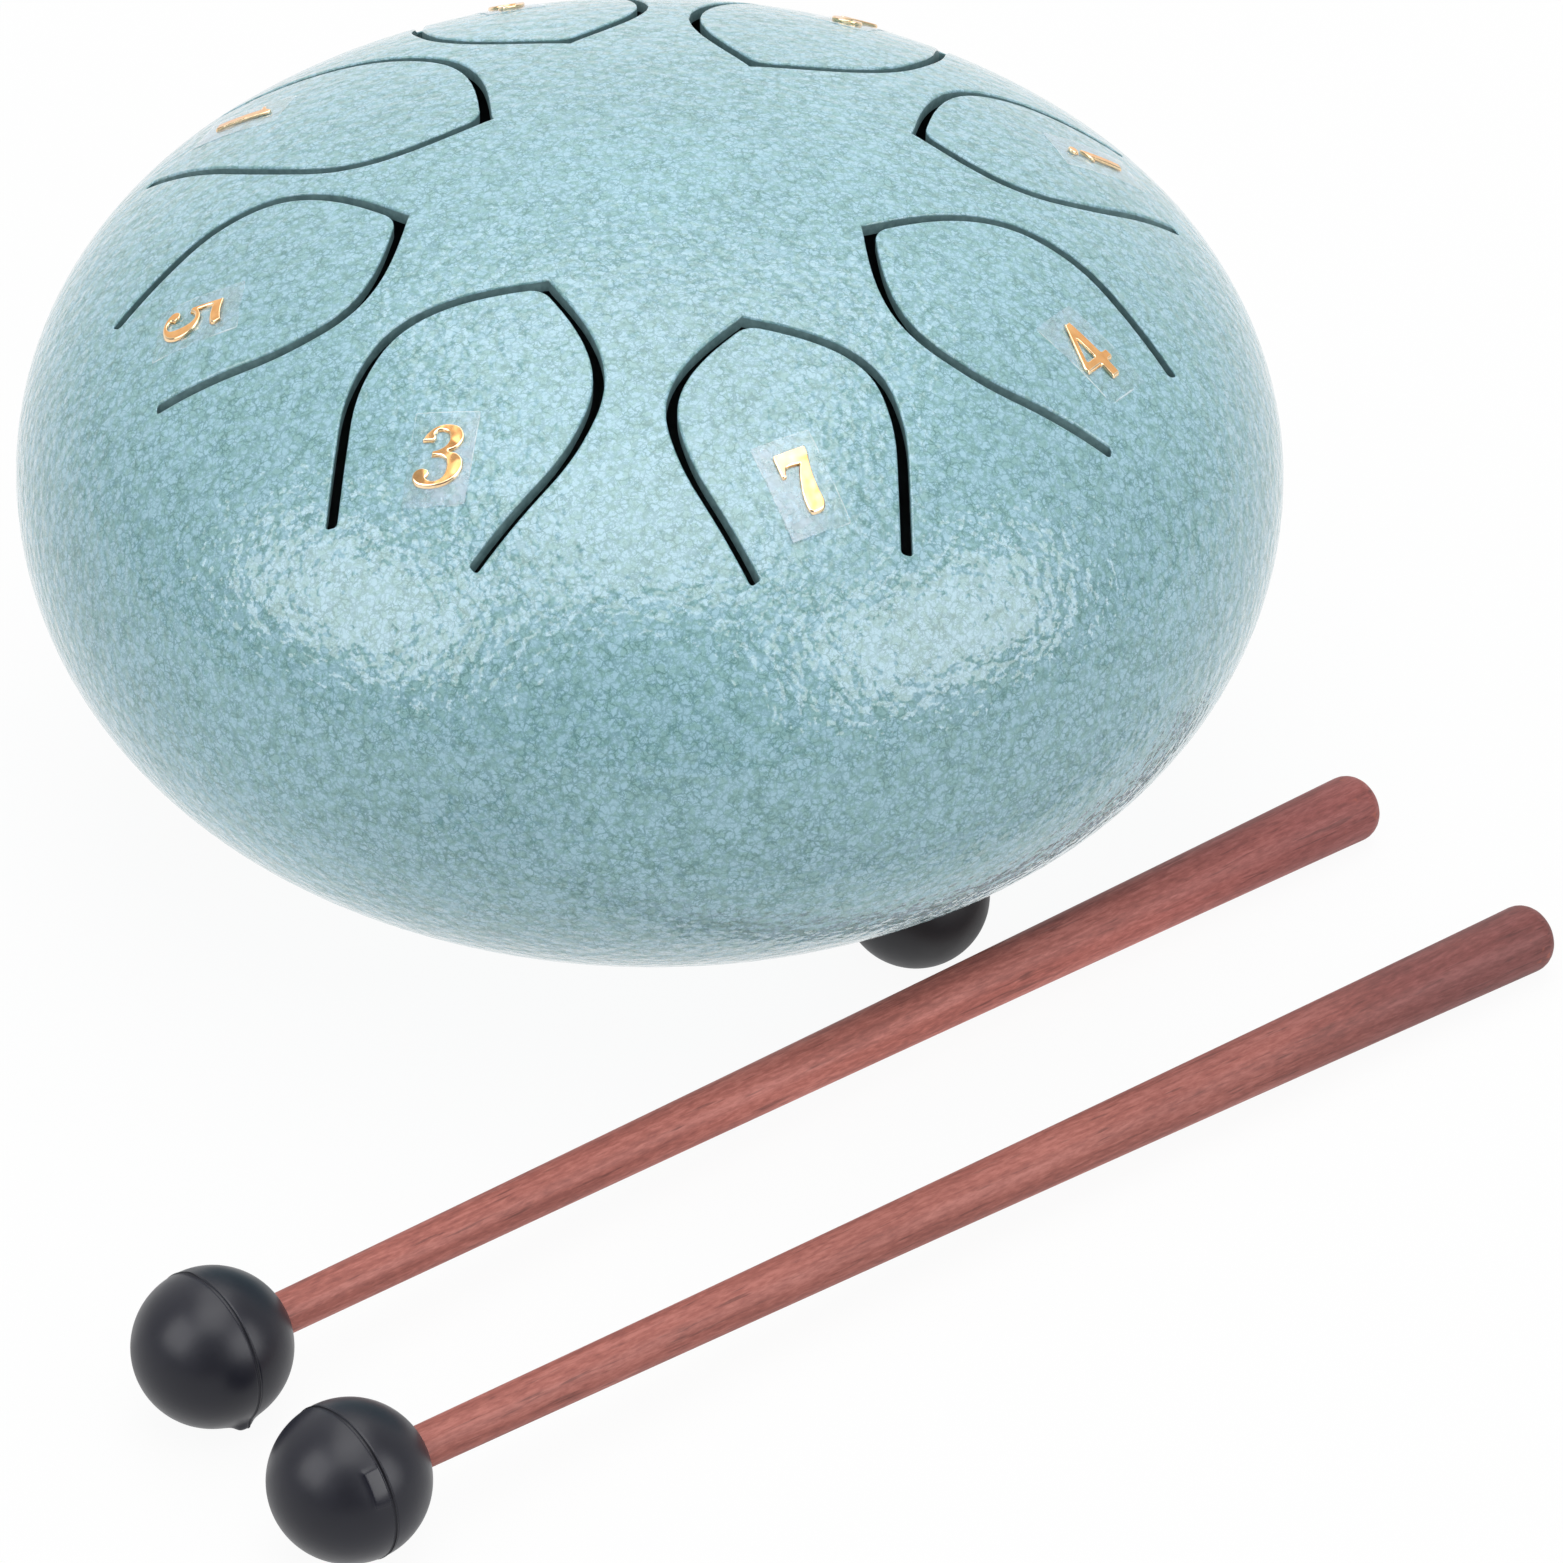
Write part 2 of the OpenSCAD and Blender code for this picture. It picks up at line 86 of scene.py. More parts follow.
class Section:
    """Half section of a pressed shell, tabled from its pole to its widest line."""

    def __init__(self, rim_r, rim_turn, shoulder_r, shoulder_turn, flat_at=None):
        t1, t2 = math.radians(rim_turn), math.radians(shoulder_turn)
        cx = DRUM_R - rim_r - (shoulder_r - rim_r) * math.cos(t1)
        cy = -(shoulder_r - rim_r) * math.sin(t1)
        crown_r = (cx + shoulder_r * math.cos(t2)) / math.cos(t2)
        crown_y = cy + (shoulder_r - crown_r) * math.sin(t2)
        turn = np.radians(np.linspace(90, 0, 3601))
        rim, crown = turn < t1, turn >= t2
        mid_x = np.where(rim, DRUM_R - rim_r, np.where(crown, 0, cx))
        mid_y = np.where(rim, 0, np.where(crown, crown_y, cy))
        radius = np.where(rim, rim_r, np.where(crown, crown_r, shoulder_r))
        self.r = mid_x + radius * np.cos(turn)
        self.h = mid_y + radius * np.sin(turn)
        self.nr, self.nh = np.cos(turn), np.sin(turn)
        if flat_at is not None:
            # the flat base runs into the bowl over a soft bend
            soft = 0.12
            over = np.abs(self.h - flat_at)
            self.h = np.minimum(self.h, flat_at) - soft * np.log1p(np.exp(-over / soft))
            dr, dh = np.gradient(self.r), np.gradient(self.h)
            length = np.hypot(dr, dh)
            self.nr, self.nh = np.maximum(-dh, 0) / length, dr / length
        self.s = np.concatenate([[0], np.cumsum(np.hypot(np.diff(self.r), np.diff(self.h)))])

    def height(self, r, grow=0.0):
        """Height of the surface, grown outwards, over a plan radius."""
        return np.interp(r, self.r + grow * self.nr, self.h + grow * self.nh)

    def normal(self, r, grow=0.0):
        nr = np.interp(r, self.r + grow * self.nr, self.nr)
        return nr, np.sqrt(np.maximum(0, 1 - nr * nr))

    def arc_length(self, r):
        return np.interp(r, self.r, self.s)

    def radius(self, s):
        return np.interp(s, self.s, self.r)


TOP = Section(*TOP_ARCS)
BASE = Section(*BASE_ARCS, flat_at=BASE_DEPTH)


def lift(section, side, plan, grow=0.0, drop=0.0):
    """A shell's surface over plan points: side is 1 for the top shell and -1 for the base."""
    plan = np.asarray(plan, float).reshape(-1, 2)
    h = section.height(np.hypot(plan[:, 0], plan[:, 1]), grow) - drop
    return np.column_stack([plan, BASE_DEPTH + side * h])


def surface_normal(section, side, plan, grow=0.0):
    plan = np.asarray(plan, float).reshape(-1, 2)
    r = np.maximum(np.hypot(plan[:, 0], plan[:, 1]), 1e-9)
    nr, nh = section.normal(r, grow)
    return np.column_stack([plan[:, 0] / r * nr, plan[:, 1] / r * nr, side * nh])

# tongue outlines


def centre_line(k, t):
    """Half of a slot's centre line: t runs from the tip (0) over the belly (1) to the root (2)."""
    t = np.asarray(t, float)
    tip = ROOT_U - TONGUE_L * LENGTHS[k]
    half = TONGUE_W * WIDTHS[k] / 2
    belly = ROOT_U - TONGUE_L * LENGTHS[k] * BELLIES[k]
    early = np.clip(t, 0, 1)
    late = np.clip(t - 1, 0, 1)
    a = 1 / (2 * BEND - BEND * BEND)
    fall = np.where(late < BEND, a * late * late, a * (2 * BEND * late - BEND * BEND))
    u = np.where(t < 1, tip + early * (belly - tip), belly + late * (ROOT_U - belly))
    w = np.where(t < 1, half * (1 - (1 - early) ** 2.6) ** 1.12, half - (half - ROOT_W / 2) * fall)
    return np.column_stack([u, w])


def edge(k, t, out):
    """Points a distance out from a slot's centre line, and the unit directions that point out."""
    t = np.asarray(t, float)
    d = centre_line(k, np.minimum(t + 0.01, 2)) - centre_line(k, t - 0.01)
    n = np.column_stack([-d[:, 1], d[:, 0]]) / np.hypot(d[:, 0], d[:, 1])[:, None]
    return centre_line(k, t) + out * n, n


class Cut:
    """Closed outline of a cut in a shell: points on it, and for each the way into the metal."""

    def __init__(self, points, inward, turn):
        self.points, self.inward, self.turn = points, inward, turn
        self.count = len(points)

    def ring(self, inset):
        """The outline moved into the metal, in the drum's plan."""
        return turn_plan(self.points + inset * self.inward, self.turn)


class Hole(Cut):
    """Round hole that is cut square to the plan, or a slanting one that shows as an ellipse."""

    def __init__(self, mid, radial, across, turn, count):
        way = circle(1, around(count))
        super().__init__([mid, 0.0] + way * [radial, across], way, math.radians(turn))


class Slot(Cut):
    """The slot of a tongue."""

    def __init__(self, k):
        self.k = k
        end = centre_line(k, [1.98, 2.0])
        along = (end[1] - end[0]) / np.hypot(*(end[1] - end[0]))
        length = 2 * np.hypot(*(centre_line(k, [2.0])[0] - centre_line(k, [1.5])[0]))
        t_end = 2 - CORNER / length
        flank = np.linspace(1, t_end - SPLIT_IN / length, FLANK_N)
        ts = np.concatenate([np.linspace(TIP_ROUND, 1, TIP_N)[:-1], flank, [t_end]])
        outer, n_out = edge(k, np.concatenate([[TIP_LEAD / 4], ts]), SLOT_W / 2)
        inner, n_in = edge(k, ts, -SLOT_W / 2)
        # outside, the two sides meet in a mitre at the tip
        tip = centre_line(k, [0.0])[0]
        lead = centre_line(k, [TIP_LEAD])[0] - tip
        mitre = np.array([-math.hypot(*lead) / lead[1], 0.0])
        # inside, the tongue's own tip is rounded
        round_r = inner[0, 1] / n_in[0, 1]
        arc = np.linspace(math.pi, math.atan2(n_in[0, 1], n_in[0, 0]), TIP_ARC_N)[1:-1]
        arc_n = circle(1, arc)
        arc_mid = np.array([inner[0, 0] - round_r * n_in[0, 0], 0.0])
        side_in = np.vstack([arc_mid + round_r * arc_n, inner])
        side_in_n = -np.vstack([arc_n, n_in])
        tip_in = np.array([[arc_mid[0] - round_r, 0.0]])
        # the slot's blunt end has two round corners
        n_end = np.array([-along[1], along[0]])
        n_end *= math.copysign(1.0, n_end[1])
        corner, corner_n = [], []
        quarter = np.linspace(0, math.pi / 2, CORNER_N)
        for sign, turns in ((1, quarter[1:]), (-1, quarter[:-1] + math.pi / 2)):
            mid = end[1] + n_end * sign * (SLOT_W / 2 - CORNER) - along * CORNER
            for a in turns:
                d = n_end * math.cos(a) + along * math.sin(a)
                corner.append(mid + CORNER * d)
                corner_n.append(d)
        flip = np.array([1, -1])
        plus = np.vstack([[tip + mitre * SLOT_W / 2], outer, corner, side_in[::-1], tip_in])
        plus_n = np.vstack([[mitre], n_out, corner_n, side_in_n[::-1], [[1.0, 0.0]]])
        minus, minus_n = (plus[1:-1] * flip)[::-1], (plus_n[1:-1] * flip)[::-1]
        turn = math.radians(FIRST_TURN + 360 / len(NOTES) * k)
        super().__init__(np.vstack([plus, minus]), np.vstack([plus_n, minus_n]), turn)
        # stations on the tongue's two flanks where its piece begins
        self.split_a = 1 + len(outer) + len(corner) + 1
        self.split_b = self.count - self.split_a
        self.split_u = self.points[self.split_a, 0]

    def on_tongue(self, i):
        return self.split_a <= i < self.split_b

    def regions(self, plan, inset):
        """For plan points: inside the slot, and inside the tongue."""
        p = turn_plan(plan, -self.turn)
        ring = self.points + inset * self.inward
        return inside(p, ring), inside(p, ring[self.split_a:self.split_b + 1])


def turn_plan(plan, angle):
    c, s = math.cos(angle), math.sin(angle)
    return np.asarray(plan) @ np.array([[c, s], [-s, c]])


def inside(p, polygon):
    """Even-odd test of many points against one polygon."""
    x, y = p[:, 0], p[:, 1]
    hit = np.zeros(len(p), bool)
    q = np.roll(polygon, -1, axis=0)
    for (ax, ay), (bx, by) in zip(polygon, q):
        if ay == by:
            continue
        cross = (ay > y) != (by > y)
        hit ^= cross & (x < (bx - ax) * (y - ay) / (by - ay) + ax)
    return hit


def around(count):
    """Even turns of a circle."""
    return np.arange(count) * 2 * math.pi / count


def circle(r, turns):
    return np.column_stack([r * np.cos(turns), r * np.sin(turns)])


def mesh_object(name, verts, faces, materials, sharp_over=None, mat_of=None):
    """A smooth object from points in millimetres, with sharp edges over an angle."""
    mesh = bpy.data.meshes.new(name)
    mesh.from_pydata((np.asarray(verts, float) * MM).tolist(), [], faces)
    for m in materials:
        mesh.materials.append(m)
    if mat_of is not None:
        mesh.polygons.foreach_set("material_index", mat_of)
    mesh.polygons.foreach_set("use_smooth", [True] * len(mesh.polygons))
    mesh.update()
    if sharp_over is not None:
        mesh.set_sharp_from_angle(angle=math.radians(sharp_over))
    obj = bpy.data.objects.new(name, mesh)
    bpy.context.scene.collection.objects.link(obj)
    return obj


def skin(rows, closed=False):
    """Points and faces of a surface over rows of points that run round it. A row of one point is a pole. A
    closed skin runs on from its last row to its first."""
    count = max(len(row) for row in rows)
    first = np.cumsum([0] + [len(row) for row in rows]).tolist()
    faces = []
    for i in range(len(rows) if closed else len(rows) - 1):
        k = (i + 1) % len(rows)
        for j in range(count):
            q = (j + 1) % count
            low = [first[i] + s % len(rows[i]) for s in (j, q)]
            high = [first[k] + s % len(rows[k]) for s in (q, j)]
            faces.append(list(dict.fromkeys(low + high)))
    return np.vstack(rows), faces


def round_row(r, h, turns):
    return np.column_stack([circle(r, turns), np.full(len(turns), float(h))])


# sheet builder


class Soup:
    """Vertices and faces with a normal for each corner, an owner and a material for each face."""

    def __init__(self):
        self.verts, self.faces, self.normals, self.owners, self.mats = [], [], [], [], []
        self.count = 0

    def add(self, points):
        first = self.count
        self.verts.append(np.asarray(points, float).reshape(-1, 3))
        self.count += len(self.verts[-1])
        return first

    def face(self, ids, normals, owner, mat):
        """normals has one row for each corner, or one direction for a flat face, which is turned to suit."""
        self.faces.append([int(i) for i in ids])
        normals = np.asarray(normals, float)
        self.normals.append(normals if normals.ndim == 2 else np.tile(normals, (len(ids), 1)))
        self.owners.append(owner)
        self.mats.append(mat)

    def piece(self, name, owner, materials):
        verts = np.vstack(self.verts)
        picked = [i for i, o in enumerate(self.owners) if o == owner]
        used = sorted({v for i in picked for v in self.faces[i]})
        new = {v: j for j, v in enumerate(used)}
        faces, corners = [], []
        for i in picked:
            ids, normals = self.faces[i], self.normals[i]
            p = verts[ids]
            area = np.cross(p, np.roll(p, -1, axis=0)).sum(0)
            if area @ normals.sum(0) < 0:
                ids, normals = ids[::-1], normals[::-1]
            faces.append([new[v] for v in ids])
            corners.append(normals)
        obj = mesh_object(name, verts[used], faces, materials, mat_of=[self.mats[i] for i in picked])
        obj.data.normals_split_custom_set(np.vstack(corners).tolist())
        return obj


def fill(points, edges):
    """Triangles over plan points with the given edges kept."""
    coords, _, tris, orig, _, _ = geometry.delaunay_2d_cdt([Vector(p) for p in points], edges, [], 0, 1e-7)
    back = [o[0] if o else None for o in orig]
    assert None not in back, "the fill made new points"
    return [[back[i] for i in t] for t in tris]


def scatter(section, reach, step):
    """Even points over a dome, in its plan, out to an arc length."""
    out = [np.zeros((1, 2))]
    for i, s in enumerate(np.arange(step, reach - 0.4 * step, step)):
        n = max(6, round(2 * math.pi * float(section.radius(s)) / step))
        a = (np.arange(n) + 0.5 * (i % 2)) * 2 * math.pi / n + 0.37 * i
        out.append(circle(section.radius(s), a))
    return np.vstack(out)


def unroll(section, plan):
    r = np.maximum(np.hypot(plan[:, 0], plan[:, 1]), 1e-9)
    return plan * (section.arc_length(r) / r)[:, None]


def far_from(points, others, gap):
    keep = np.ones(len(points), bool)
    for block in np.array_split(others, max(1, len(others) // 400)):
        lo, hi = block.min(0) - gap, block.max(0) + gap
        near = np.flatnonzero(keep & np.all((points > lo) & (points < hi), axis=1))
        if len(near):
            d = np.linalg.norm(points[near][:, None] - block[None], axis=2).min(1)
            keep[near[d < gap]] = False
    return points[keep]


def thin_out(points, gap):
    """The points in order, without those that lie closer than gap to one kept before."""
    kept, cells = [], {}
    for p in points:
        cx, cy = int(p[0] // gap), int(p[1] // gap)
        near = [q for dx in (-1, 0, 1) for dy in (-1, 0, 1) for q in cells.get((cx + dx, cy + dy), ())]
        if all((p[0] - q[0]) ** 2 + (p[1] - q[1]) ** 2 >= gap * gap for q in near):
            cells.setdefault((cx, cy), []).append(p)
            kept.append(p)
    return np.array(kept)


def unit(rows):
    return rows / np.linalg.norm(rows, axis=1)[:, None]


def sheet_face(soup, section, side, cuts, painted):
    """Adds a shell's painted face, or the one inside. Returns its first point, the first point of each cut,
    the lines where the tongues begin, and its normals."""
    grow, inset, step = (0, FILLET, STEP) if painted else (-WALL, 0, 2 * STEP)
    rim_r = DRUM_R + grow
    plan = [circle(rim_r, around(RIM_N))]
    edges = [(i, (i + 1) % RIM_N) for i in range(RIM_N)]
    first, lines, count = {}, {}, RIM_N
    for c in cuts:
        outline = c.ring(inset)
        first[c] = count
        plan.append(outline)
        edges += [(count + i, count + (i + 1) % c.count) for i in range(c.count)]
        count += c.count
        if isinstance(c, Slot):
            start, end = outline[c.split_a], outline[c.split_b]
            mid = start + (end - start) * np.linspace(0, 1, ROOT_LINE_N + 1)[1:-1, None]
            lines[c] = [first[c] + c.split_a, *range(count, count + len(mid)), first[c] + c.split_b]
            edges += zip(lines[c][:-1], lines[c][1:])
            plan.append(mid)
            count += len(mid)
    fixed, support = np.vstack(plan), np.zeros((0, 2))
    if painted:
        support = np.vstack([c.ring(inset + more)[::skip] for c in cuts for more, skip in SUPPORT_ROWS])
        support = thin_out(far_from(support, fixed, SUPPORT_GAP[0]), SUPPORT_GAP[1])
    ground = scatter(section, section.arc_length(rim_r), step)
    ground = ground[np.hypot(ground[:, 0], ground[:, 1]) < rim_r - RIM_GAP]
    ground = far_from(ground, np.vstack([fixed[RIM_N:], support]), GROUND_SHARE * step)
    every = np.vstack([fixed, support, ground])
    tris = np.array(fill(unroll(section, every), edges))
    centre = every[tris].mean(1)
    owner, drop = np.zeros(len(tris), int), np.zeros(len(tris), bool)
    for c in cuts:
        if isinstance(c, Slot):
            slot, tongue = c.regions(centre, inset)
            owner[tongue] = c.k + 1
            drop |= slot
        else:
            drop |= inside(centre, c.ring(inset))
    normal = surface_normal(section, side, every, grow) * (1 if painted else -1)
    base = soup.add(lift(section, side, every, grow))
    for ids, o in zip(tris[~drop], owner[~drop]):
        soup.face(base + ids, normal[ids], o, PAINTED if painted else BACK)
    return base, first, lines, normal


def cut_walls(soup, section, side, c, outer, inner):
    """A cut's rounded edge and sawn wall, and where it is a slot the two faces at the tongue's start."""
    (base_o, first_o, lines_o, n_o), (base_i, first_i, lines_i, _) = outer, inner
    way = unit(c.ring(0) - c.ring(1))
    way = np.column_stack([way, np.zeros(len(way))])
    ids = np.arange(c.count)
    rows, normals = [base_o + first_o[c] + ids], [n_o[first_o[c]:first_o[c] + c.count]]
    for a in np.linspace(0, math.pi / 2, FILLET_N)[1:]:
        ring = c.ring(FILLET * (1 - math.sin(a)))
        rows.append(soup.add(lift(section, side, ring, 0, FILLET * (1 - math.cos(a)))) + ids)
        normals.append(unit(math.cos(a) * surface_normal(section, side, ring) + math.sin(a) * way))
    rows.append(base_i + first_i[c] + ids)
    normals.append(way)
    slot = isinstance(c, Slot)
    for level in range(len(rows) - 1):
        (high, low), (n_high, n_low) = rows[level:level + 2], normals[level:level + 2]
        look = SAWN if level == len(rows) - 2 else PAINTED
        for i in range(c.count):
            j = (i + 1) % c.count
            owner = c.k + 1 if slot and c.on_tongue(i) else 0
            corners = (high[i], low[i], low[j], high[j])
            soup.face(corners, (n_high[i], n_low[i], n_low[j], n_high[j]), owner, look)
    if slot:
        down_a, down_b = ([row[split] for row in rows[1:-1]] for split in (c.split_a, c.split_b))
        loop = ([base_o + i for i in lines_o[c]] + down_b
                + [base_i + i for i in lines_i[c][::-1]] + down_a[::-1])
        out = np.array([math.cos(c.turn), math.sin(c.turn), 0.0])
        soup.face(loop, out, c.k + 1, BACK)
        soup.face(loop, -out, 0, BACK)


def build_sheet(section, side, cuts):
    """A pressed shell of sheet metal with rounded cut edges. Slots give tongues."""
    soup = Soup()
    outer = sheet_face(soup, section, side, cuts, True)
    inner = sheet_face(soup, section, side, cuts, False)
    # a plain lip closes the rim
    for i in range(RIM_N):
        j = (i + 1) % RIM_N
        soup.face([outer[0] + i, inner[0] + i, inner[0] + j, outer[0] + j], (0, 0, -side), 0, BACK)
    for c in cuts:
        cut_walls(soup, section, side, c, outer, inner)
    return soup

# materials


class Nodes:
    """Short names for the nodes of a tree."""

    def __init__(self, owner):
        owner.use_nodes = True
        self.tree = owner.node_tree
        self.place = None

    def add(self, kind, inputs=None, **settings):
        node = self.tree.nodes.new("ShaderNode" + kind)
        for key, value in settings.items():
            setattr(node, key, value)
        for key, value in (inputs or {}).items():
            self.put(node.inputs[key], value)
        return node

    def put(self, socket, value):
        if isinstance(value, bpy.types.NodeSocket):
            self.tree.links.new(value, socket)
        else:
            socket.default_value = value

    def kept(self, name, output="Fac"):
        """What a mesh keeps under a name."""
        return self.add("Attribute", attribute_name=name).outputs[output]

    def noise(self, scale, detail=2.0, rough=0.5, at=None, stretch=None, output="Fac"):
        at = at or self.place
        if stretch:
            at = self.add("Mapping", {"Vector": at, "Scale": stretch}).outputs["Vector"]
        node = self.add("TexNoise", {"Vector": at, "Scale": scale, "Detail": detail, "Roughness": rough})
        return node.outputs[output]

    def cells(self, scale, smooth):
        inputs = {"Vector": self.place, "Scale": scale, "Smoothness": smooth}
        return self.add("TexVoronoi", inputs, feature="SMOOTH_F1").outputs["Distance"]

    def steps(self, value, *stops):
        """Colour ramp: stops are (place, (r, g, b)) or (place, grey)."""
        node = self.add("ValToRGB", {"Fac": value})
        ramp = node.color_ramp
        while len(ramp.elements) < len(stops):
            ramp.elements.new(0.5)
        for element, (place, colour) in zip(ramp.elements, stops):
            element.position = place
            element.color = (*colour, 1) if isinstance(colour, tuple) else (colour, colour, colour, 1)
        return node.outputs["Color"]

    def math(self, operation, a, b=0.0):
        return self.add("Math", {0: a, 1: b}, operation=operation).outputs[0]

    def total(self, first, *others):
        for other in others:
            first = self.math("ADD", first, other)
        return first

    def times(self, first, *others):
        for other in others:
            first = self.math("MULTIPLY", first, other)
        return first

    def away(self, value, level):
        """How far a value is from a level."""
        return self.math("ABSOLUTE", self.math("SUBTRACT", value, level))

    def rest_of(self, value):
        return self.math("SUBTRACT", 1.0, value)

    def mix(self, factor, a, b, blend="MIX"):
        node = self.add("Mix", data_type="RGBA", blend_type=blend)
        for key, value in (("Factor", factor), ("A", a), ("B", b)):
            socket = [s for s in node.inputs if s.name == key and s.enabled][0]
            if isinstance(value, tuple) and len(value) == 3:
                value = (*value, 1)
            self.put(socket, value)
        return [s for s in node.outputs if s.enabled][0]

    def tint(self, colour, by):
        """A colour multiplied by another one."""
        return self.mix(1.0, colour, by, "MULTIPLY")

    def bump(self, height, distance, strength=1.0, after=None):
        inputs = {"Height": height, "Distance": distance, "Strength": strength}
        if after is not None:
            inputs["Normal"] = after
        return self.add("Bump", inputs).outputs["Normal"]

    def either(self, factor, first, second):
        """The first shader where the factor is 0, and the second one where it is 1."""
        return self.add("MixShader", {0: factor, 1: first, 2: second}).outputs[0]

    def cover(self, shader):
        """Makes a shader the material's surface."""
        self.put(self.tree.nodes["Material Output"].inputs["Surface"], shader)


class Look(Nodes):
    """A procedural material in object coordinates, in metres, or in the places that its mesh keeps."""

    def __init__(self, name, own_place=False):
        self.mat = bpy.data.materials.new(name)
        super().__init__(self.mat)
        self.bsdf = self.tree.nodes["Principled BSDF"]
        if own_place:
            self.place = self.kept("own_place", "Vector")
        else:
            self.place = self.add("TexCoord").outputs["Object"]

    def shade(self, **inputs):
        for key, value in inputs.items():
            self.put(self.bsdf.inputs[key.replace("_", " ")], value)
        return self.mat


def hammered_paint(name):
    """Blue islands in a greener ground, a net of thin dark veins, and a glossy coat in small pebbles."""
    n = Look(name)
    drift = n.noise(1500, 3, output="Color")
    drift = n.add("VectorMath", {0: drift, "Scale": 0.0011}, operation="SCALE").outputs["Vector"]
    moved = n.add("VectorMath", {0: n.place, 1: drift}, operation="ADD").outputs["Vector"]
    net = n.add("TexVoronoi", {"Vector": moved, "Scale": 900}, feature="DISTANCE_TO_EDGE")
    patch = n.noise(850, 3, 0.6)
    crowd = n.steps(n.noise(420, 3, 0.6), (0.4, 0.52), (0.6, 0.95))
    coarse = n.steps(net.outputs["Distance"], (0.02, 0.0), (0.125, 1.0))
    fine = n.steps(n.away(n.noise(1050, 3, 0.6), 0.5), (0.006, 0.0), (0.034, 1.0))
    shore = n.steps(n.away(patch, 0.46), (0.004, 0.2), (0.02, 1.0))
    gap = n.times(coarse, shore, n.total(n.times(fine, 0.75), 0.25))
    tone = n.steps(patch, (0.38, (0.225, 0.42, 0.43)), (0.45, (0.258, 0.468, 0.503)),
                   (0.5, (0.276, 0.485, 0.548)), (0.55, (0.31, 0.52, 0.61)))
    vein = n.mix(n.times(n.rest_of(gap), crowd), (1.085, 1.075, 1.075), (0.46, 0.59, 0.57))
    cloud = n.steps(n.noise(26, 2, 0.5), (0.3, 0.95), (0.7, 1.05))
    height = n.total(n.times(n.cells(620, 0.6), -1.0), n.times(n.cells(1400, 0.5), -0.35),
                     n.times(n.noise(240, 1, 0.5), 0.9))
    return n.shade(Base_Color=n.tint(n.tint(tone, vein), cloud), Roughness=0.5, Metallic=0.0,
                   Specular_IOR_Level=0.25, Normal=n.bump(height, 0.00006), Coat_Weight=1.0,
                   Coat_Roughness=0.045, Coat_IOR=1.5, Coat_Normal=n.bump(height, 0.00018))


def cut_edge(name):
    """Paint in the slots, thin and dull on the sawn wall."""
    n = Look(name)
    colour = n.steps(n.noise(900, 3, 0.6), (0.35, (0.13, 0.235, 0.25)), (0.65, (0.2, 0.34, 0.36)))
    return n.shade(Base_Color=colour, Roughness=0.6, Normal=n.bump(n.noise(1600, 2), 0.00003))


def inside_painted_shade(name):
    """Painted shade: the sheet inside the drum is nearly black, standing in for the shade within the drum."""
    n = Look(name)
    colour = n.steps(n.noise(120, 4, 0.6), (0.35, (0.016, 0.026, 0.030)), (0.7, (0.036, 0.054, 0.062)))
    return n.shade(Base_Color=colour, Roughness=0.75, Normal=n.bump(n.noise(700, 3), 0.00004))


def black_rubber(name, gloss, shine, tint, moulded=False):
    """Dull black rubber; on a moulded ball painted shade darkens its moulding line, where its creases lie,
    and its trimmed place is glossier.
    """
    n = Look(name, moulded)
    colour = n.steps(n.noise(90, 3, 0.55), (0.3, tint), (0.7, tuple(c * 1.35 for c in tint)))
    rough = n.steps(n.noise(160, 3, 0.6), (0.3, gloss - 0.05), (0.7, gloss + 0.07))
    if moulded:
        rough = n.times(rough, n.rest_of(n.times(n.kept("trimmed"), 0.45)))
        # painted shade: a near-black matt shader along the moulding line
        dull = n.add("BsdfDiffuse", {"Color": (0.006, 0.006, 0.007, 1)}).outputs[0]
        n.cover(n.either(n.kept("parting_shade"), n.bsdf.outputs[0], dull))
    skin = n.bump(n.noise(900, 3, 0.6), 0.00001)
    return n.shade(Base_Color=colour, Roughness=rough, Specular_IOR_Level=shine,
                   Normal=n.bump(n.noise(140, 2), 0.00006, 0.5, skin))


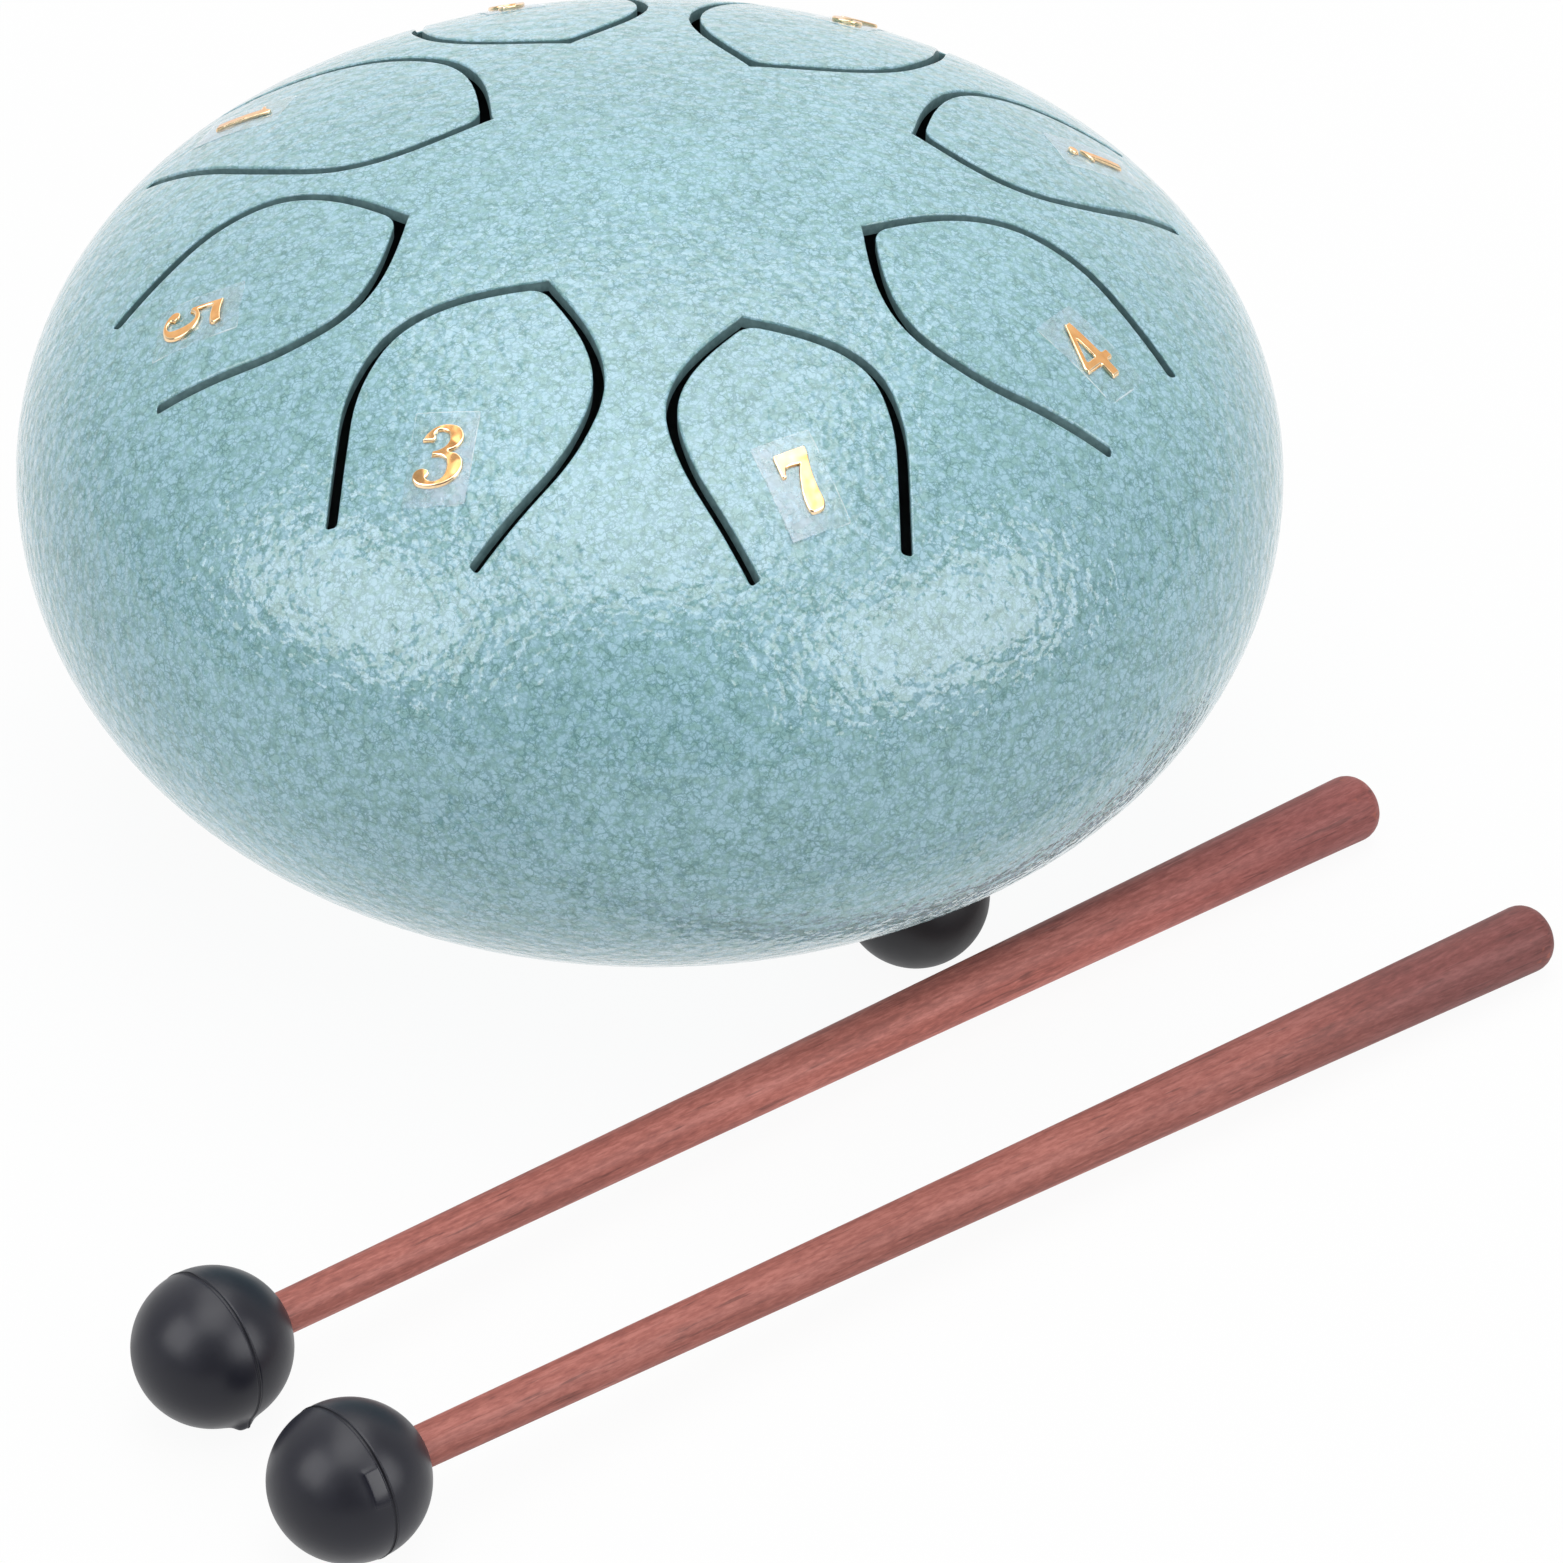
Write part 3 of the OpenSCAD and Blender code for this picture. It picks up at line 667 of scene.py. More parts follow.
def stained_wood(name, seed, stain_and_painted_light):
    """Reddish stained hardwood: fine grain, dark pores, soft bands; the steps along the handle scale its
    colour, for the stain's depth and, on the first handle, for painted light that lightens it where the drum
    shades it.
    """
    n = Look(name, True)
    own = n.add("SeparateXYZ", {0: n.place}).outputs["Z"]
    at = n.add("Mapping", {"Vector": n.place, "Location": (seed, seed * 0.7, seed * 1.3)}).outputs["Vector"]
    fine = n.noise(2800, 3, 0.62, at, (1, 1, 0.2))
    grain = n.noise(820, 3, 0.6, at, (1, 1, 0.06))
    bands = n.noise(210, 2, 0.5, at, (1, 1, 0.12))
    pores = n.noise(1900, 2, 0.6, at, (1, 1, 0.07))
    mixed = n.total(n.times(fine, 0.45), n.times(grain, 0.33), n.times(bands, 0.22))
    tone = n.steps(mixed, (0.4, (0.27, 0.076, 0.059)), (0.5, (0.37, 0.108, 0.083)),
                   (0.6, (0.48, 0.16, 0.127)))
    colour = n.tint(tone, n.steps(pores, (0.3, 0.62), (0.4, 1.0)))
    # the steps along the handle: stain depth, and painted light against the drum's shade
    colour = n.tint(colour, n.steps(n.math("DIVIDE", own, MALLET_L * MM), *stain_and_painted_light))
    patchy = n.times(n.noise(55, 2, 0.6, at), 0.03)
    butt = n.add("MapRange", {"Value": n.total(own, patchy), "From Min": 0.118, "From Max": 0.182}).outputs[0]
    colour = n.tint(colour, n.mix(butt, (1.0, 1.0, 1.0), (0.53, 0.47, 0.54)))
    near_end = n.times(n.math("SUBTRACT", own, 0.174), 22.0)
    worn = n.steps(n.total(n.noise(500, 2, 0.6, at), near_end), (0.62, 0.0), (0.7, 1.0))
    colour = n.mix(n.times(worn, 0.5), colour, (0.44, 0.11, 0.065))
    bump = n.bump(n.total(fine, n.times(pores, 0.8)), 0.00004, 0.8)
    return n.shade(Base_Color=colour, Roughness=n.steps(grain, (0.3, 0.6), (0.7, 0.5)),
                   Specular_IOR_Level=0.38, Normal=bump)


def gilt(name, deep, light):
    """Foil of a numeral, never quite flat."""
    n = Look(name)
    colour = n.steps(n.noise(500, 2, 0.5), (0.35, deep), (0.65, light))
    rough = n.steps(n.noise(300, 2), (0.3, 0.08), (0.7, 0.18))
    return n.shade(Base_Color=colour, Metallic=1.0, Roughness=rough,
                   Normal=n.bump(n.noise(430, 1), 0.00016, 0.8))


def one_sided(n, factor):
    """Keeps a factor on the outer side of a face: rays inside the plastic pass unchanged."""
    return n.times(factor, n.rest_of(n.add("NewGeometry").outputs["Backfacing"]))


def clear_film(name):
    """Clear plastic: a milky veil lies over a part of each label, and the paint makes it a little wavy."""
    n = Look(name)
    veil = n.times(n.kept("veil"), n.steps(n.noise(700, 3, 0.6), (0.35, 0.4), (0.65, 1.0)))
    wave = n.bump(n.noise(420, 2), 0.0001)
    shine = n.add("BsdfGlossy", {"Color": (1, 1, 1, 1), "Roughness": 0.08, "Normal": wave}).outputs[0]
    facing = n.add("Fresnel", {"IOR": 1.45, "Normal": wave}).outputs[0]
    coat = n.either(one_sided(n, facing), n.add("BsdfTransparent").outputs[0], shine)
    n.cover(n.either(one_sided(n, veil), coat, n.bsdf.outputs[0]))
    return n.shade(Base_Color=(0.66, 0.76, 0.86, 1), Roughness=0.25, Normal=wave)


def film_edge(name):
    """The cut edge of the film, which glints in places."""
    n = Look(name)
    colour = n.steps(n.noise(700, 2), (0.3, (0.66, 0.80, 0.84)), (0.7, (0.9, 0.97, 1.0)))
    glint = n.steps(n.noise(230, 2), (0.44, 0.04), (0.6, 0.6))
    return n.shade(Base_Color=colour, Roughness=0.25, Alpha=one_sided(n, glint))


# the drum's inside, and the bead on it, are painted nearly black as shade
PAINT, CUT, INSIDE_SHADE = hammered_paint("hammered_paint"), cut_edge("cut_edge"), inside_painted_shade("inside_painted_shade")
FOOT_RUBBER = black_rubber("foot_rubber", 0.5, 0.42, (0.0105, 0.0112, 0.0142))
BALL_RUBBER = black_rubber("ball_rubber", 0.36, 0.34, (0.0094, 0.0098, 0.0162), True)
GILT = gilt("gilt", (0.86, 0.43, 0.16), (0.95, 0.54, 0.23))
# a paler gilt on the numerals' rounded edges: a painted highlight where the edges catch the light
GILT_RIM_HIGHLIGHT = gilt("gilt_rim_highlight", (0.96, 0.66, 0.38), (1.0, 0.78, 0.52))
FILM, FILM_EDGE = clear_film("label_film"), film_edge("label_film_edge")


def finish_piece(obj, body, slot, *nodes):
    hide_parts(*nodes)
    if body:
        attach(obj, body)
    return obj


# the two shells and the tongues

SHELL_LOOKS = (PAINT, INSIDE_SHADE, CUT)
SLOTS = [Slot(k) for k in range(len(NOTES))]
top_soup = build_sheet(TOP, 1, SLOTS)
finish_piece(top_soup.piece("top_dome", 0, SHELL_LOOKS), "drum", "hammered_paint", "top_shell")
for s in SLOTS:
    note = NOTES[s.k]
    tongue = top_soup.piece("sprung_tongue_" + note, s.k + 1, SHELL_LOOKS)
    ends = [turn_plan(np.array([[u, 0.0]]), s.turn)[0] for u in (s.split_u, s.split_u - BLEND_L)]
    start, end = (Vector(lift(TOP, 1, e, -WALL / 2)[0] * MM) for e in ends)
    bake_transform(tongue)
    finish_piece(tongue, None, "hammered_paint", "tongue_" + note)

FOOT_TILT = math.asin(float(BASE.normal(FOOT_RING)[0]))
slant = FOOT_HOLE_R * math.cos(FOOT_TILT)
HOLES = [Hole(0, SOUND_HOLE_R, SOUND_HOLE_R, 0, 160)]
HOLES += [Hole(FOOT_RING, slant, FOOT_HOLE_R, a, 40) for a in FOOT_TURNS]
base = build_sheet(BASE, -1, HOLES).piece("bottom_bowl", 0, SHELL_LOOKS)
finish_piece(base, "drum", "hammered_paint", "bottom_shell")

# seam weld: its root inside the drum

BEAD_DEEP, BEAD_H, BEAD_IN, BEAD_TURN, BEAD_N = 0.55, 1.1, 0.3, 1.4, 360

BEAD_R = DRUM_R - WALL + BEAD_IN
bead = [(DRUM_R - WALL + BEAD_IN / 3 - BEAD_DEEP * math.cos(a), BASE_DEPTH + BEAD_H * math.sin(a))
        for a in np.linspace(-BEAD_TURN, BEAD_TURN, 9)]
bead = [(BEAD_R, BASE_DEPTH - BEAD_H), *bead, (BEAD_R, BASE_DEPTH + BEAD_H)]
bead = [round_row(r, z, around(BEAD_N)) for r, z in bead]
weld = mesh_object("seam_bead", *skin(bead, True), (INSIDE_SHADE,), 60)
finish_piece(weld, "drum", "weld", "seam_weld")

# feet

FOOT_Z = BASE_DEPTH - float(BASE.height(FOOT_RING))
FLOOR_Z = FOOT_Z - FOOT_R + FOOT_FLAT
# points round a foot, rings of its dome, and halvings that find where the dome meets the shell
FOOT_N, DOME_N, HALVINGS = 96, 48, 30
# the dome's lip, rounded in over the last share of its way to the shell, and its gap to the paint there
LIP_SHARE, LIP_IN, LIP_BEND, LIP_GAP = 0.035, 0.35, 2.2, 0.06
NECK_R, NECK_TOP = 2.6, -(WALL + 0.15)
# rings of the dome's underside, which lies on the shell, and the softness of its flat pad's edge
UNDER_RS, PAD_SOFT = (7.0, 4.5, NECK_R), 0.05
# radius and depth under the neck's top, from the neck over the barb to its blunt end
BARB = ((NECK_R, 0), (3.45, 0.06), (3.68, 0.2), (3.7, 0.4), (2.75, 2.7), (2.5, 2.95), (0, 3))


def foot_piece(i):
    """A rubber dome that sits on the bowl and is flat on the floor, with its neck and barb inside."""
    axis = np.array([math.sin(FOOT_TILT), 0, -math.cos(FOOT_TILT)])
    side = np.array([math.cos(FOOT_TILT), 0, math.sin(FOOT_TILT)])
    mid, cross = np.array([FOOT_RING, 0, FOOT_Z]), np.cross(axis, side)
    turns = around(FOOT_N)

    def place(r, a, h):
        return mid + h * axis + r * (math.cos(a) * side + math.sin(a) * cross)

    def under_shell(p):
        """How far below the shell's surface a point lies."""
        return BASE_DEPTH - float(BASE.height(math.hypot(p[0], p[1]))) - p[2]

    rims = []
    for a in turns:
        low, high = math.radians(70), math.radians(110)
        for _ in range(HALVINGS):
            m = (low + high) / 2
            if under_shell(place(FOOT_R * math.sin(m), a, FOOT_R * math.cos(m))) > LIP_GAP:
                low = m
            else:
                high = m
        rims.append(low)
    rows = [[place(0, 0, FOOT_R)]]
    for t in np.linspace(0, 1, DOME_N + 1)[1:]:
        r = FOOT_R - LIP_IN * max(0.0, (t - 1 + LIP_SHARE) / LIP_SHARE) ** LIP_BEND
        rows.append([place(r * math.sin(m * t), a, r * math.cos(m * t)) for m, a in zip(rims, turns)])
    for r in UNDER_RS:
        level = [place(r, a, 0) for a in turns]
        rows.append([p - axis * under_shell(p) * math.cos(FOOT_TILT) for p in level])
    for r, deep in BARB:
        rows.append([place(r, a, NECK_TOP - deep) for a in (turns if r else (0,))])
    verts, faces = skin(rows[::-1])
    over = np.abs(verts[:, 2] - FLOOR_Z)
    verts[:, 2] = np.maximum(verts[:, 2], FLOOR_Z) + PAD_SOFT * np.log1p(np.exp(-over / PAD_SOFT))
    verts[:, :2] = turn_plan(verts[:, :2], math.radians(FOOT_TURNS[i]))
    dome = mesh_object("foot_dome_%d" % (i + 1), verts, faces, (FOOT_RUBBER,), 40)
    finish_piece(dome, "drum", "foot_rubber", "foot_%d" % (i + 1))


for i in range(3):
    foot_piece(i)

# labels

# for each label: distance from its tongue's root, place across, tilt and its numeral's slip across
INSETS = (0.84, 0.98, 0.95, 0.95, 0.9, 1.12, 1, 0.88)
SIDES = (0.12, 0, 0.05, -0.1, 0.1, 0.02, -0.12, 0.15)
TILTS = (4, 6, -5, 8, -24, 18, 8, -8)
SLIPS = (0, 0, 0, 0, 0, -0.01, 0.02, -0.085)
# how much wider each numeral is than its outline, and how far it slips along its label
WIDENED = (1, 1, 1, 1, 1.04, 1.36, 1.05, 1.08)
SUNK = (0, 0, 0, 0, -0.1, 0, 0, 0)
FILM_L, FILM_W, FILM_T, NUMERAL_H, NUMERAL_T = 11.2, 7.7, 0.1, 7.2, 0.4
LABEL_INSET, LABEL_CORNER = 8.4, 0.28
# a plate's inner points: their spacing on a film and on a numeral, and the share of it that they keep from
# the edge; then the longest edge of an outline
FILM_GRID, NUMERAL_GRID, GRID_SHARE, OUTLINE_STEP = 0.9, 9.0, 0.45, 0.5
# inset, height and slope of a film's and a numeral's edge, from its foot to its flat top
FILM_EDGES = ((0, 0.006, 0), (0, 0.06, 0.2), (0.03, FILM_T, 0.9), (0.13, FILM_T, 1))
NUMERAL_TOP = FILM_T + NUMERAL_T
NUMERAL_EDGES = ((0, FILM_T + 0.005, 0), (0, NUMERAL_TOP - 0.2, 0.05), (0.05, NUMERAL_TOP - 0.07, 0.45),
                 (0.13, NUMERAL_TOP - 0.01, 0.8), (0.16, NUMERAL_TOP, 1))
# looks of a plate, in the order of its materials
FLAT_LOOK, EDGE_LOOK = range(2)
# rounding of a numeral's corners, and how uneven a film is cut
NUMERAL_CORNER, FILM_UNEVEN = 0.26, 0.05
# film 5 is cut a little shorter, clear of its tongue's root
CUTS = (1, 1, 1, 1, 0.93, 1, 1, 1)


def label_plan(k, points, slip=0.0):
    """Plan of points of a label: u towards the tongue's root, w to its left."""
    p = turn_plan(np.asarray(points, float) + [0, FILM_W * slip], math.radians(TILTS[k]))
    p = p + [ROOT_U - LABEL_INSET * INSETS[k], FILM_W * SIDES[k]]
    return turn_plan(p, SLOTS[k].turn)


def rounded_box(length, width, radius, per=6):
    out = []
    for sx, sy, a0 in ((1, 1, 0), (-1, 1, 90), (-1, -1, 180), (1, -1, 270)):
        for a in np.radians(np.linspace(a0, a0 + 90, per)):
            out.append((sx * (length / 2 - radius) + radius * math.cos(a),
                        sy * (width / 2 - radius) + radius * math.sin(a)))
    return np.array(out)


def dense(points, step):
    """A closed outline with no edge longer than step."""
    out = []
    for a, b in zip(points, np.roll(points, -1, axis=0)):
        n = max(1, math.ceil(np.hypot(*(b - a)) / step))
        out += [a + (b - a) * i / n for i in range(n)]
    return np.array(out)


def inward_of(points):
    d = np.roll(points, -1, axis=0) - np.roll(points, 1, axis=0)
    return np.column_stack([-d[:, 1], d[:, 0]]) / np.hypot(d[:, 0], d[:, 1])[:, None]


def unlooped(ring, reach=24):
    """The ring without the small loops that an inset makes at tight corners; the count of points stays."""
    ring = ring.copy()
    n = len(ring)
    for i in range(n):
        a, b = ring[i], ring[(i + 1) % n]
        for step in range(min(reach, n - 3), 1, -1):
            c, d = ring[(i + step) % n], ring[(i + step + 1) % n]
            u, v, w = b - a, d - c, c - a
            cross = u[0] * v[1] - u[1] * v[0]
            if abs(cross) < 1e-12:
                continue
            s = (w[0] * v[1] - w[1] * v[0]) / cross
            t = (w[0] * u[1] - w[1] * u[0]) / cross
            if 0 < s < 1 and 0 < t < 1:
                for q in range(1, step + 1):
                    ring[(i + q) % n] = a + s * u
                break
    return ring


def plate(name, outlines, to_plan, levels, grid, materials):
    """A thin plate on the dome. levels are (inset, height, slope) from its foot to its top edge; the slope is
    that of its normal, 0 for a wall and 1 for flat. Outlines run anticlockwise, eyes clockwise."""
    soup = Soup()
    tops = []
    for ring in outlines:
        way = inward_of(ring)
        rows = []
        wall = np.column_stack([unit(to_plan(ring - way * 0.01) - to_plan(ring)), np.zeros(len(ring))])
        for inset, height, slope in levels:
            inner = unlooped(ring + way * inset)
            plan = to_plan(inner)
            n = unit(slope * surface_normal(TOP, 1, plan) + (1 - slope) * wall)
            rows.append((soup.add(lift(TOP, 1, plan, height)), n))
        for (b0, n0), (b1, n1) in zip(rows[:-1], rows[1:]):
            for i in range(len(ring)):
                j = (i + 1) % len(ring)
                soup.face([b0 + i, b0 + j, b1 + j, b1 + i], [n0[i], n0[j], n1[j], n1[i]], 0, EDGE_LOOK)
        tops.append((rows, ring + way * levels[0][0], inner))
    for end, way_up in ((-1, 1), (0, -1)):
        rings = [(rows[end][0], top if end == -1 else low) for rows, low, top in tops]
        cap(soup, rings, to_plan, levels[end][1], grid, way_up)
    return soup.piece(name, 0, materials)


def cap(soup, rings, to_plan, height, grid, way_up):
    """Closes a plate's top or underside. rings are (first point, outline), the outer one first."""
    flat, ids, edges, back = [], [], [], 0
    for base, ring in rings:
        edges += [(back + i, back + (i + 1) % len(ring)) for i in range(len(ring))]
        ids += range(base, base + len(ring))
        flat.append(ring)
        back += len(ring)

    def within(points):
        ok = inside(points, flat[0])
        for eye in flat[1:len(rings)]:
            ok &= ~inside(points, eye)
        return ok

    lo, hi = flat[0].min(0), flat[0].max(0)
    xs, ys = (np.arange(lo[i] + grid / 2, hi[i], grid) for i in (0, 1))
    ground = np.array([(x, y) for x in xs for y in ys]).reshape(-1, 2)
    if len(ground):
        ground = far_from(ground[within(ground)], np.vstack(flat), GRID_SHARE * grid)
    if len(ground):
        base = soup.add(lift(TOP, 1, to_plan(ground), height))
        ids += range(base, base + len(ground))
        flat.append(ground)
    every = np.vstack(flat)
    tris = np.array(fill(every, edges))
    n = surface_normal(TOP, 1, to_plan(every)) * way_up
    for t in tris[within(every[tris].mean(1))]:
        soup.face([ids[v] for v in t], n[t], 0, FLAT_LOOK)


def film_outline(k, length, width):
    """Outline of a hand-cut film: a rectangle with softly rounded corners and slightly uneven edges."""
    box = rounded_box(length - 2 * FILM_UNEVEN, width - 2 * FILM_UNEVEN, LABEL_CORNER)
    box = dense(box, OUTLINE_STEP)
    wobble = FILM_UNEVEN * np.sin(box[:, 0] * 0.9 + k * 2.1) * np.sin(box[:, 1] * 1.3 + k)
    return box * (1 - np.abs(wobble) / 8)[:, None]


# where each label's milky veil lies, as a turn from its root side, and how dense it is
VEIL_TURNS = (120, -40, 200, 30, 160, 55, -80, -150)
VEILS = (0.3, 0.3, 0.3, 0.35, 0.2, 0.48, 0.48, 0.22)


def veil_on(film, k):
    """Stores how milky each point of a label is."""
    co = np.array([v.co for v in film.data.vertices])[:, :2] / MM
    mid, ahead = label_plan(k, [(0, 0), (1, 0)])
    ahead = turn_plan((ahead - mid)[None], math.radians(VEIL_TURNS[k]))[0]
    along = (co - mid) @ ahead
    veil = VEILS[k] / (1 + np.exp(-1.1 * along)) + 0.03
    film.data.attributes.new("veil", "FLOAT", "POINT").data.foreach_set("value", veil)


for k, note in enumerate(NOTES):
    outline = film_outline(k, FILM_L * CUTS[k], FILM_W)
    film = plate("clear_label_" + note, [outline], lambda p, k=k: label_plan(k, p),
                 FILM_EDGES, FILM_GRID, (FILM, FILM_EDGE))
    veil_on(film, k)
    finish_piece(film, "tongue_" + note, "label_film", "film_" + note)

# outlines of the digits in hundredths of their height; C marks a corner
C = 1
ONE = [(-8.5, -50, C), (10, -50, C), (10, 50, C), (3, 50, C), (-4, 42), (-13, 35), (-21, 32.5, C),
       (-21, 25, C), (-14, 26.2), (-8.5, 29, C)]
TWO = [(-26, 22), (-26.5, 32), (-19, 44), (-4, 50), (11, 48.5), (23, 40), (27, 25), (22, 8), (8, -9),
       (-4, -21), (-10, -30, C), (8, -30), (17, -27), (22, -19, C), (29, -19, C), (27, -50, C),
       (-30, -50, C), (-30, -43), (-22, -31), (-8, -13), (3, 2), (9, 15), (9, 28), (5, 39), (-3, 43.5),
       (-11, 41), (-13, 36), (-9, 29), (-11, 20), (-19, 16.5)]
THREE = [(-23.5, 23.5, C), (-20, 34), (-10, 46), (4, 50), (18, 45), (25, 31), (23.5, 19), (17, 9),
         (9, 4.5), (20, 0), (27.5, -10), (28.5, -23), (22, -38), (10, -47), (-5, -50), (-20, -47),
         (-28, -39), (-29, -30), (-25, -23.5), (-18, -21.5), (-11.5, -25), (-10, -30), (-13, -36),
         (-8, -41), (0, -41.5), (7, -36), (10, -24), (8.5, -11), (3, -3.5), (-4, -1.5), (-10, -2, C),
         (-10, 5, C), (-3, 7), (5, 13), (8.5, 23), (7, 34), (1.5, 40), (-6, 40), (-10, 34), (-8, 29),
         (-10, 23.5, C)]
FOUR = [(10, 50), (17, 50), (20, 46), (20, -12, C), (34, -12, C), (34, -26, C), (20, -26, C), (20, -50, C),
        (2, -50, C), (2, -26, C), (-34, -26, C), (-34, -17, C), (5, 47)]
FOUR_EYE = [(3, -13, C), (3, 25, C), (-20, -13, C)]
FIVE = [(-20, 50, C), (-5, 47.5), (10, 47.5), (24, 50, C), (27, 40), (22, 32), (8, 29.5), (-15, 32, C),
        (-16.5, 7, C), (-5, 12), (8, 12), (22, 4), (30, -12), (28, -30), (17, -44), (0, -50), (-15, -48),
        (-26, -40), (-28, -31), (-22, -23.5), (-14, -24.5), (-10, -31), (-13, -38.5), (-7, -43), (1, -42),
        (8, -36), (11, -24), (10, -9), (5, 1), (-4, 3.5), (-12, 0), (-17, -6, C), (-23.5, -5, C)]
SIX = [(7, 50), (-10, 44), (-22, 28), (-29, 5), (-30, -18), (-24, -38), (-10, -48.5), (4, -50), (19, -44),
       (28.5, -29), (28, -10), (19, 3), (6, 8.5), (-5, 6.5), (-12, 2, C), (-10, 20), (-4, 36), (4, 44),
       (9, 43), (9, 35), (15, 30), (22, 33), (24, 40), (20, 47), (14, 50)]
SIX_EYE = [(-12, -20), (-9, -35), (0, -43), (8.5, -36), (11.5, -20), (8.5, -6), (0, 0), (-8.5, -5)]
SEVEN = [(-27, 49, C), (28, 50, C), (27.5, 37), (23.5, 20), (20.5, 0), (20, -24), (20, -40), (14, -48),
         (3, -50), (-6, -48), (-9, -40), (-8, -20), (-3, 0), (3, 15), (9, 25, C), (-8, 26.5), (-16, 23),
         (-20, 12, C), (-27, 12, C)]
# the dot of the high 1, how far up it sits, and the scale and drop of the digit under it
DOT_R, DOT_UP, UNDER_DOT, DROP = 8.8, 0.41, 0.76, 0.12
DIGITS = {"1": [ONE], "2": [TWO], "3": [THREE], "4": [FOUR, FOUR_EYE], "5": [FIVE], "6": [SIX, SIX_EYE],
          "7": [SEVEN]}


def smooth(points, per=5):
    """A closed curve through points in hundredths, with corners kept where a third value marks one."""
    n = len(points)
    xy = np.array([p[:2] for p in points], float) / 100
    sharp = [len(p) == 3 for p in points]
    out = []
    for i in range(n):
        a, b = xy[i], xy[(i + 1) % n]
        before = xy[i - 1] if not sharp[i] else a
        after = xy[(i + 2) % n] if not sharp[(i + 1) % n] else b
        if sharp[i] and sharp[(i + 1) % n]:
            out.append(a)
            continue
        for t in np.arange(per) / per:
            m0, m1 = (b - before) / 2, (after - a) / 2
            out.append((2 * t ** 3 - 3 * t * t + 1) * a + (t ** 3 - 2 * t * t + t) * m0
                       + (-2 * t ** 3 + 3 * t * t) * b + (t ** 3 - t * t) * m1)
    return np.array(out)


def soften(points, radius, per=3):
    """Rounds every sharp corner of a closed outline a little."""
    out = []
    n = len(points)
    for i in range(n):
        a, b, c = points[i - 1], points[i], points[(i + 1) % n]
        d0, d1 = a - b, c - b
        l0, l1 = np.hypot(*d0), np.hypot(*d1)
        if l0 < 1e-9 or l1 < 1e-9 or d0 @ d1 / (l0 * l1) < -0.8:
            out.append(b)
            continue
        r0, r1 = min(radius, 0.45 * l0) / l0, min(radius, 0.45 * l1) / l1
        for t in np.linspace(0, 1, per + 1):
            p, q = b + d0 * r0 * (1 - t), b + d1 * r1 * t
            out.append(p + (q - p) * t)
    return np.array(out)


def turned_way(points, anticlockwise):
    x, y = points[:, 0], points[:, 1]
    area = np.sum(x * np.roll(y, -1) - y * np.roll(x, -1))
    return points if (area > 0) == anticlockwise else points[::-1]


def numeral(k, name, outlines, scale=1.0, shift=0.0):
    rings = []
    for i, o in enumerate(outlines):
        o = smooth(o) * NUMERAL_H * scale
        o[:, 0] *= WIDENED[k]
        o = soften(o, NUMERAL_CORNER)
        o[:, 1] += (shift + SUNK[k]) * NUMERAL_H
        rings.append(turned_way(dense(o, OUTLINE_STEP), i == 0))

    def to_plan(p):
        return label_plan(k, np.column_stack([-p[:, 1], p[:, 0]]), SLIPS[k])

    return plate(name, rings, to_plan, NUMERAL_EDGES, NUMERAL_GRID, (GILT, GILT_RIM_HIGHLIGHT))


def joined(first, second):
    """Adds the second mesh to the first object."""
    with bpy.context.temp_override(active_object=first, selected_editable_objects=[first, second]):
        bpy.ops.object.join()
    return first


for k, note in enumerate(NOTES):
    if note == "high_1":
        piece = numeral(k, "gilt_numeral_" + note, [ONE], UNDER_DOT, -DROP)
        piece = joined(piece, numeral(k, "gilt_dot", [circle(DOT_R, around(12))], 1.0, DOT_UP))
    else:
        piece = numeral(k, "gilt_numeral_" + note, DIGITS[note])
    finish_piece(piece, "tongue_" + note, "gilt", "numeral_" + note)

# mallets

REST_R = BALL_R + FLASH_H
BUTT_X = MALLET_L - BALL_R - BUTT_ROUND
MALLET_TILT = math.asin(REST_R / math.hypot(BUTT_X, BUTT_D / 2)) - math.atan(BUTT_D / 2 / BUTT_X)
# depth and gap of the socket, the round of its mouth, and the chamfer of the glued end
SOCKET_L, SOCKET_GAP, MOUTH, CHAMFER = 11.0, 0.03, 0.25, 0.3
# how a handle thickens: shares of the way that go straight and with the square
STRAIGHT_SHARE, SQUARE_SHARE = 0.55, 0.45
# uneven turning of the handles: its depth, lobes and the length over which it begins
UNEVEN, UNEVEN_N, UNEVEN_IN = 0.012, 3, 20
HANDLE_N = 64
# how each handle's colour is scaled at shares of the mallet's length: the stain's depth, and on the first
# handle painted light that lightens it where the drum shades it
WOODS = (stained_wood("stained_wood", 0.0, ((0.25, 1.0), (0.5, 1.26), (0.77, 1.6), (0.9, 1.38))),
         stained_wood("stained_wood_2", 0.31, ((0.25, 0.93), (0.38, 0.88), (0.7, 1.02), (0.93, 0.9))))


def stick_r(x):
    t = min(max((x - BALL_R) / (BUTT_X - BALL_R), 0), 1)
    return (STICK_D + (BUTT_D - STICK_D) * (STRAIGHT_SHARE * t + SQUARE_SHARE * t * t)) / 2


def lay(obj, where):
    """Moves a mesh to its place and keeps where each point was, for its material."""
    own = obj.data.attributes.new("own_place", "FLOAT_VECTOR", "POINT")
    own.data.foreach_set("vector", [c for v in obj.data.vertices for c in v.co])
    obj.data.transform(where)


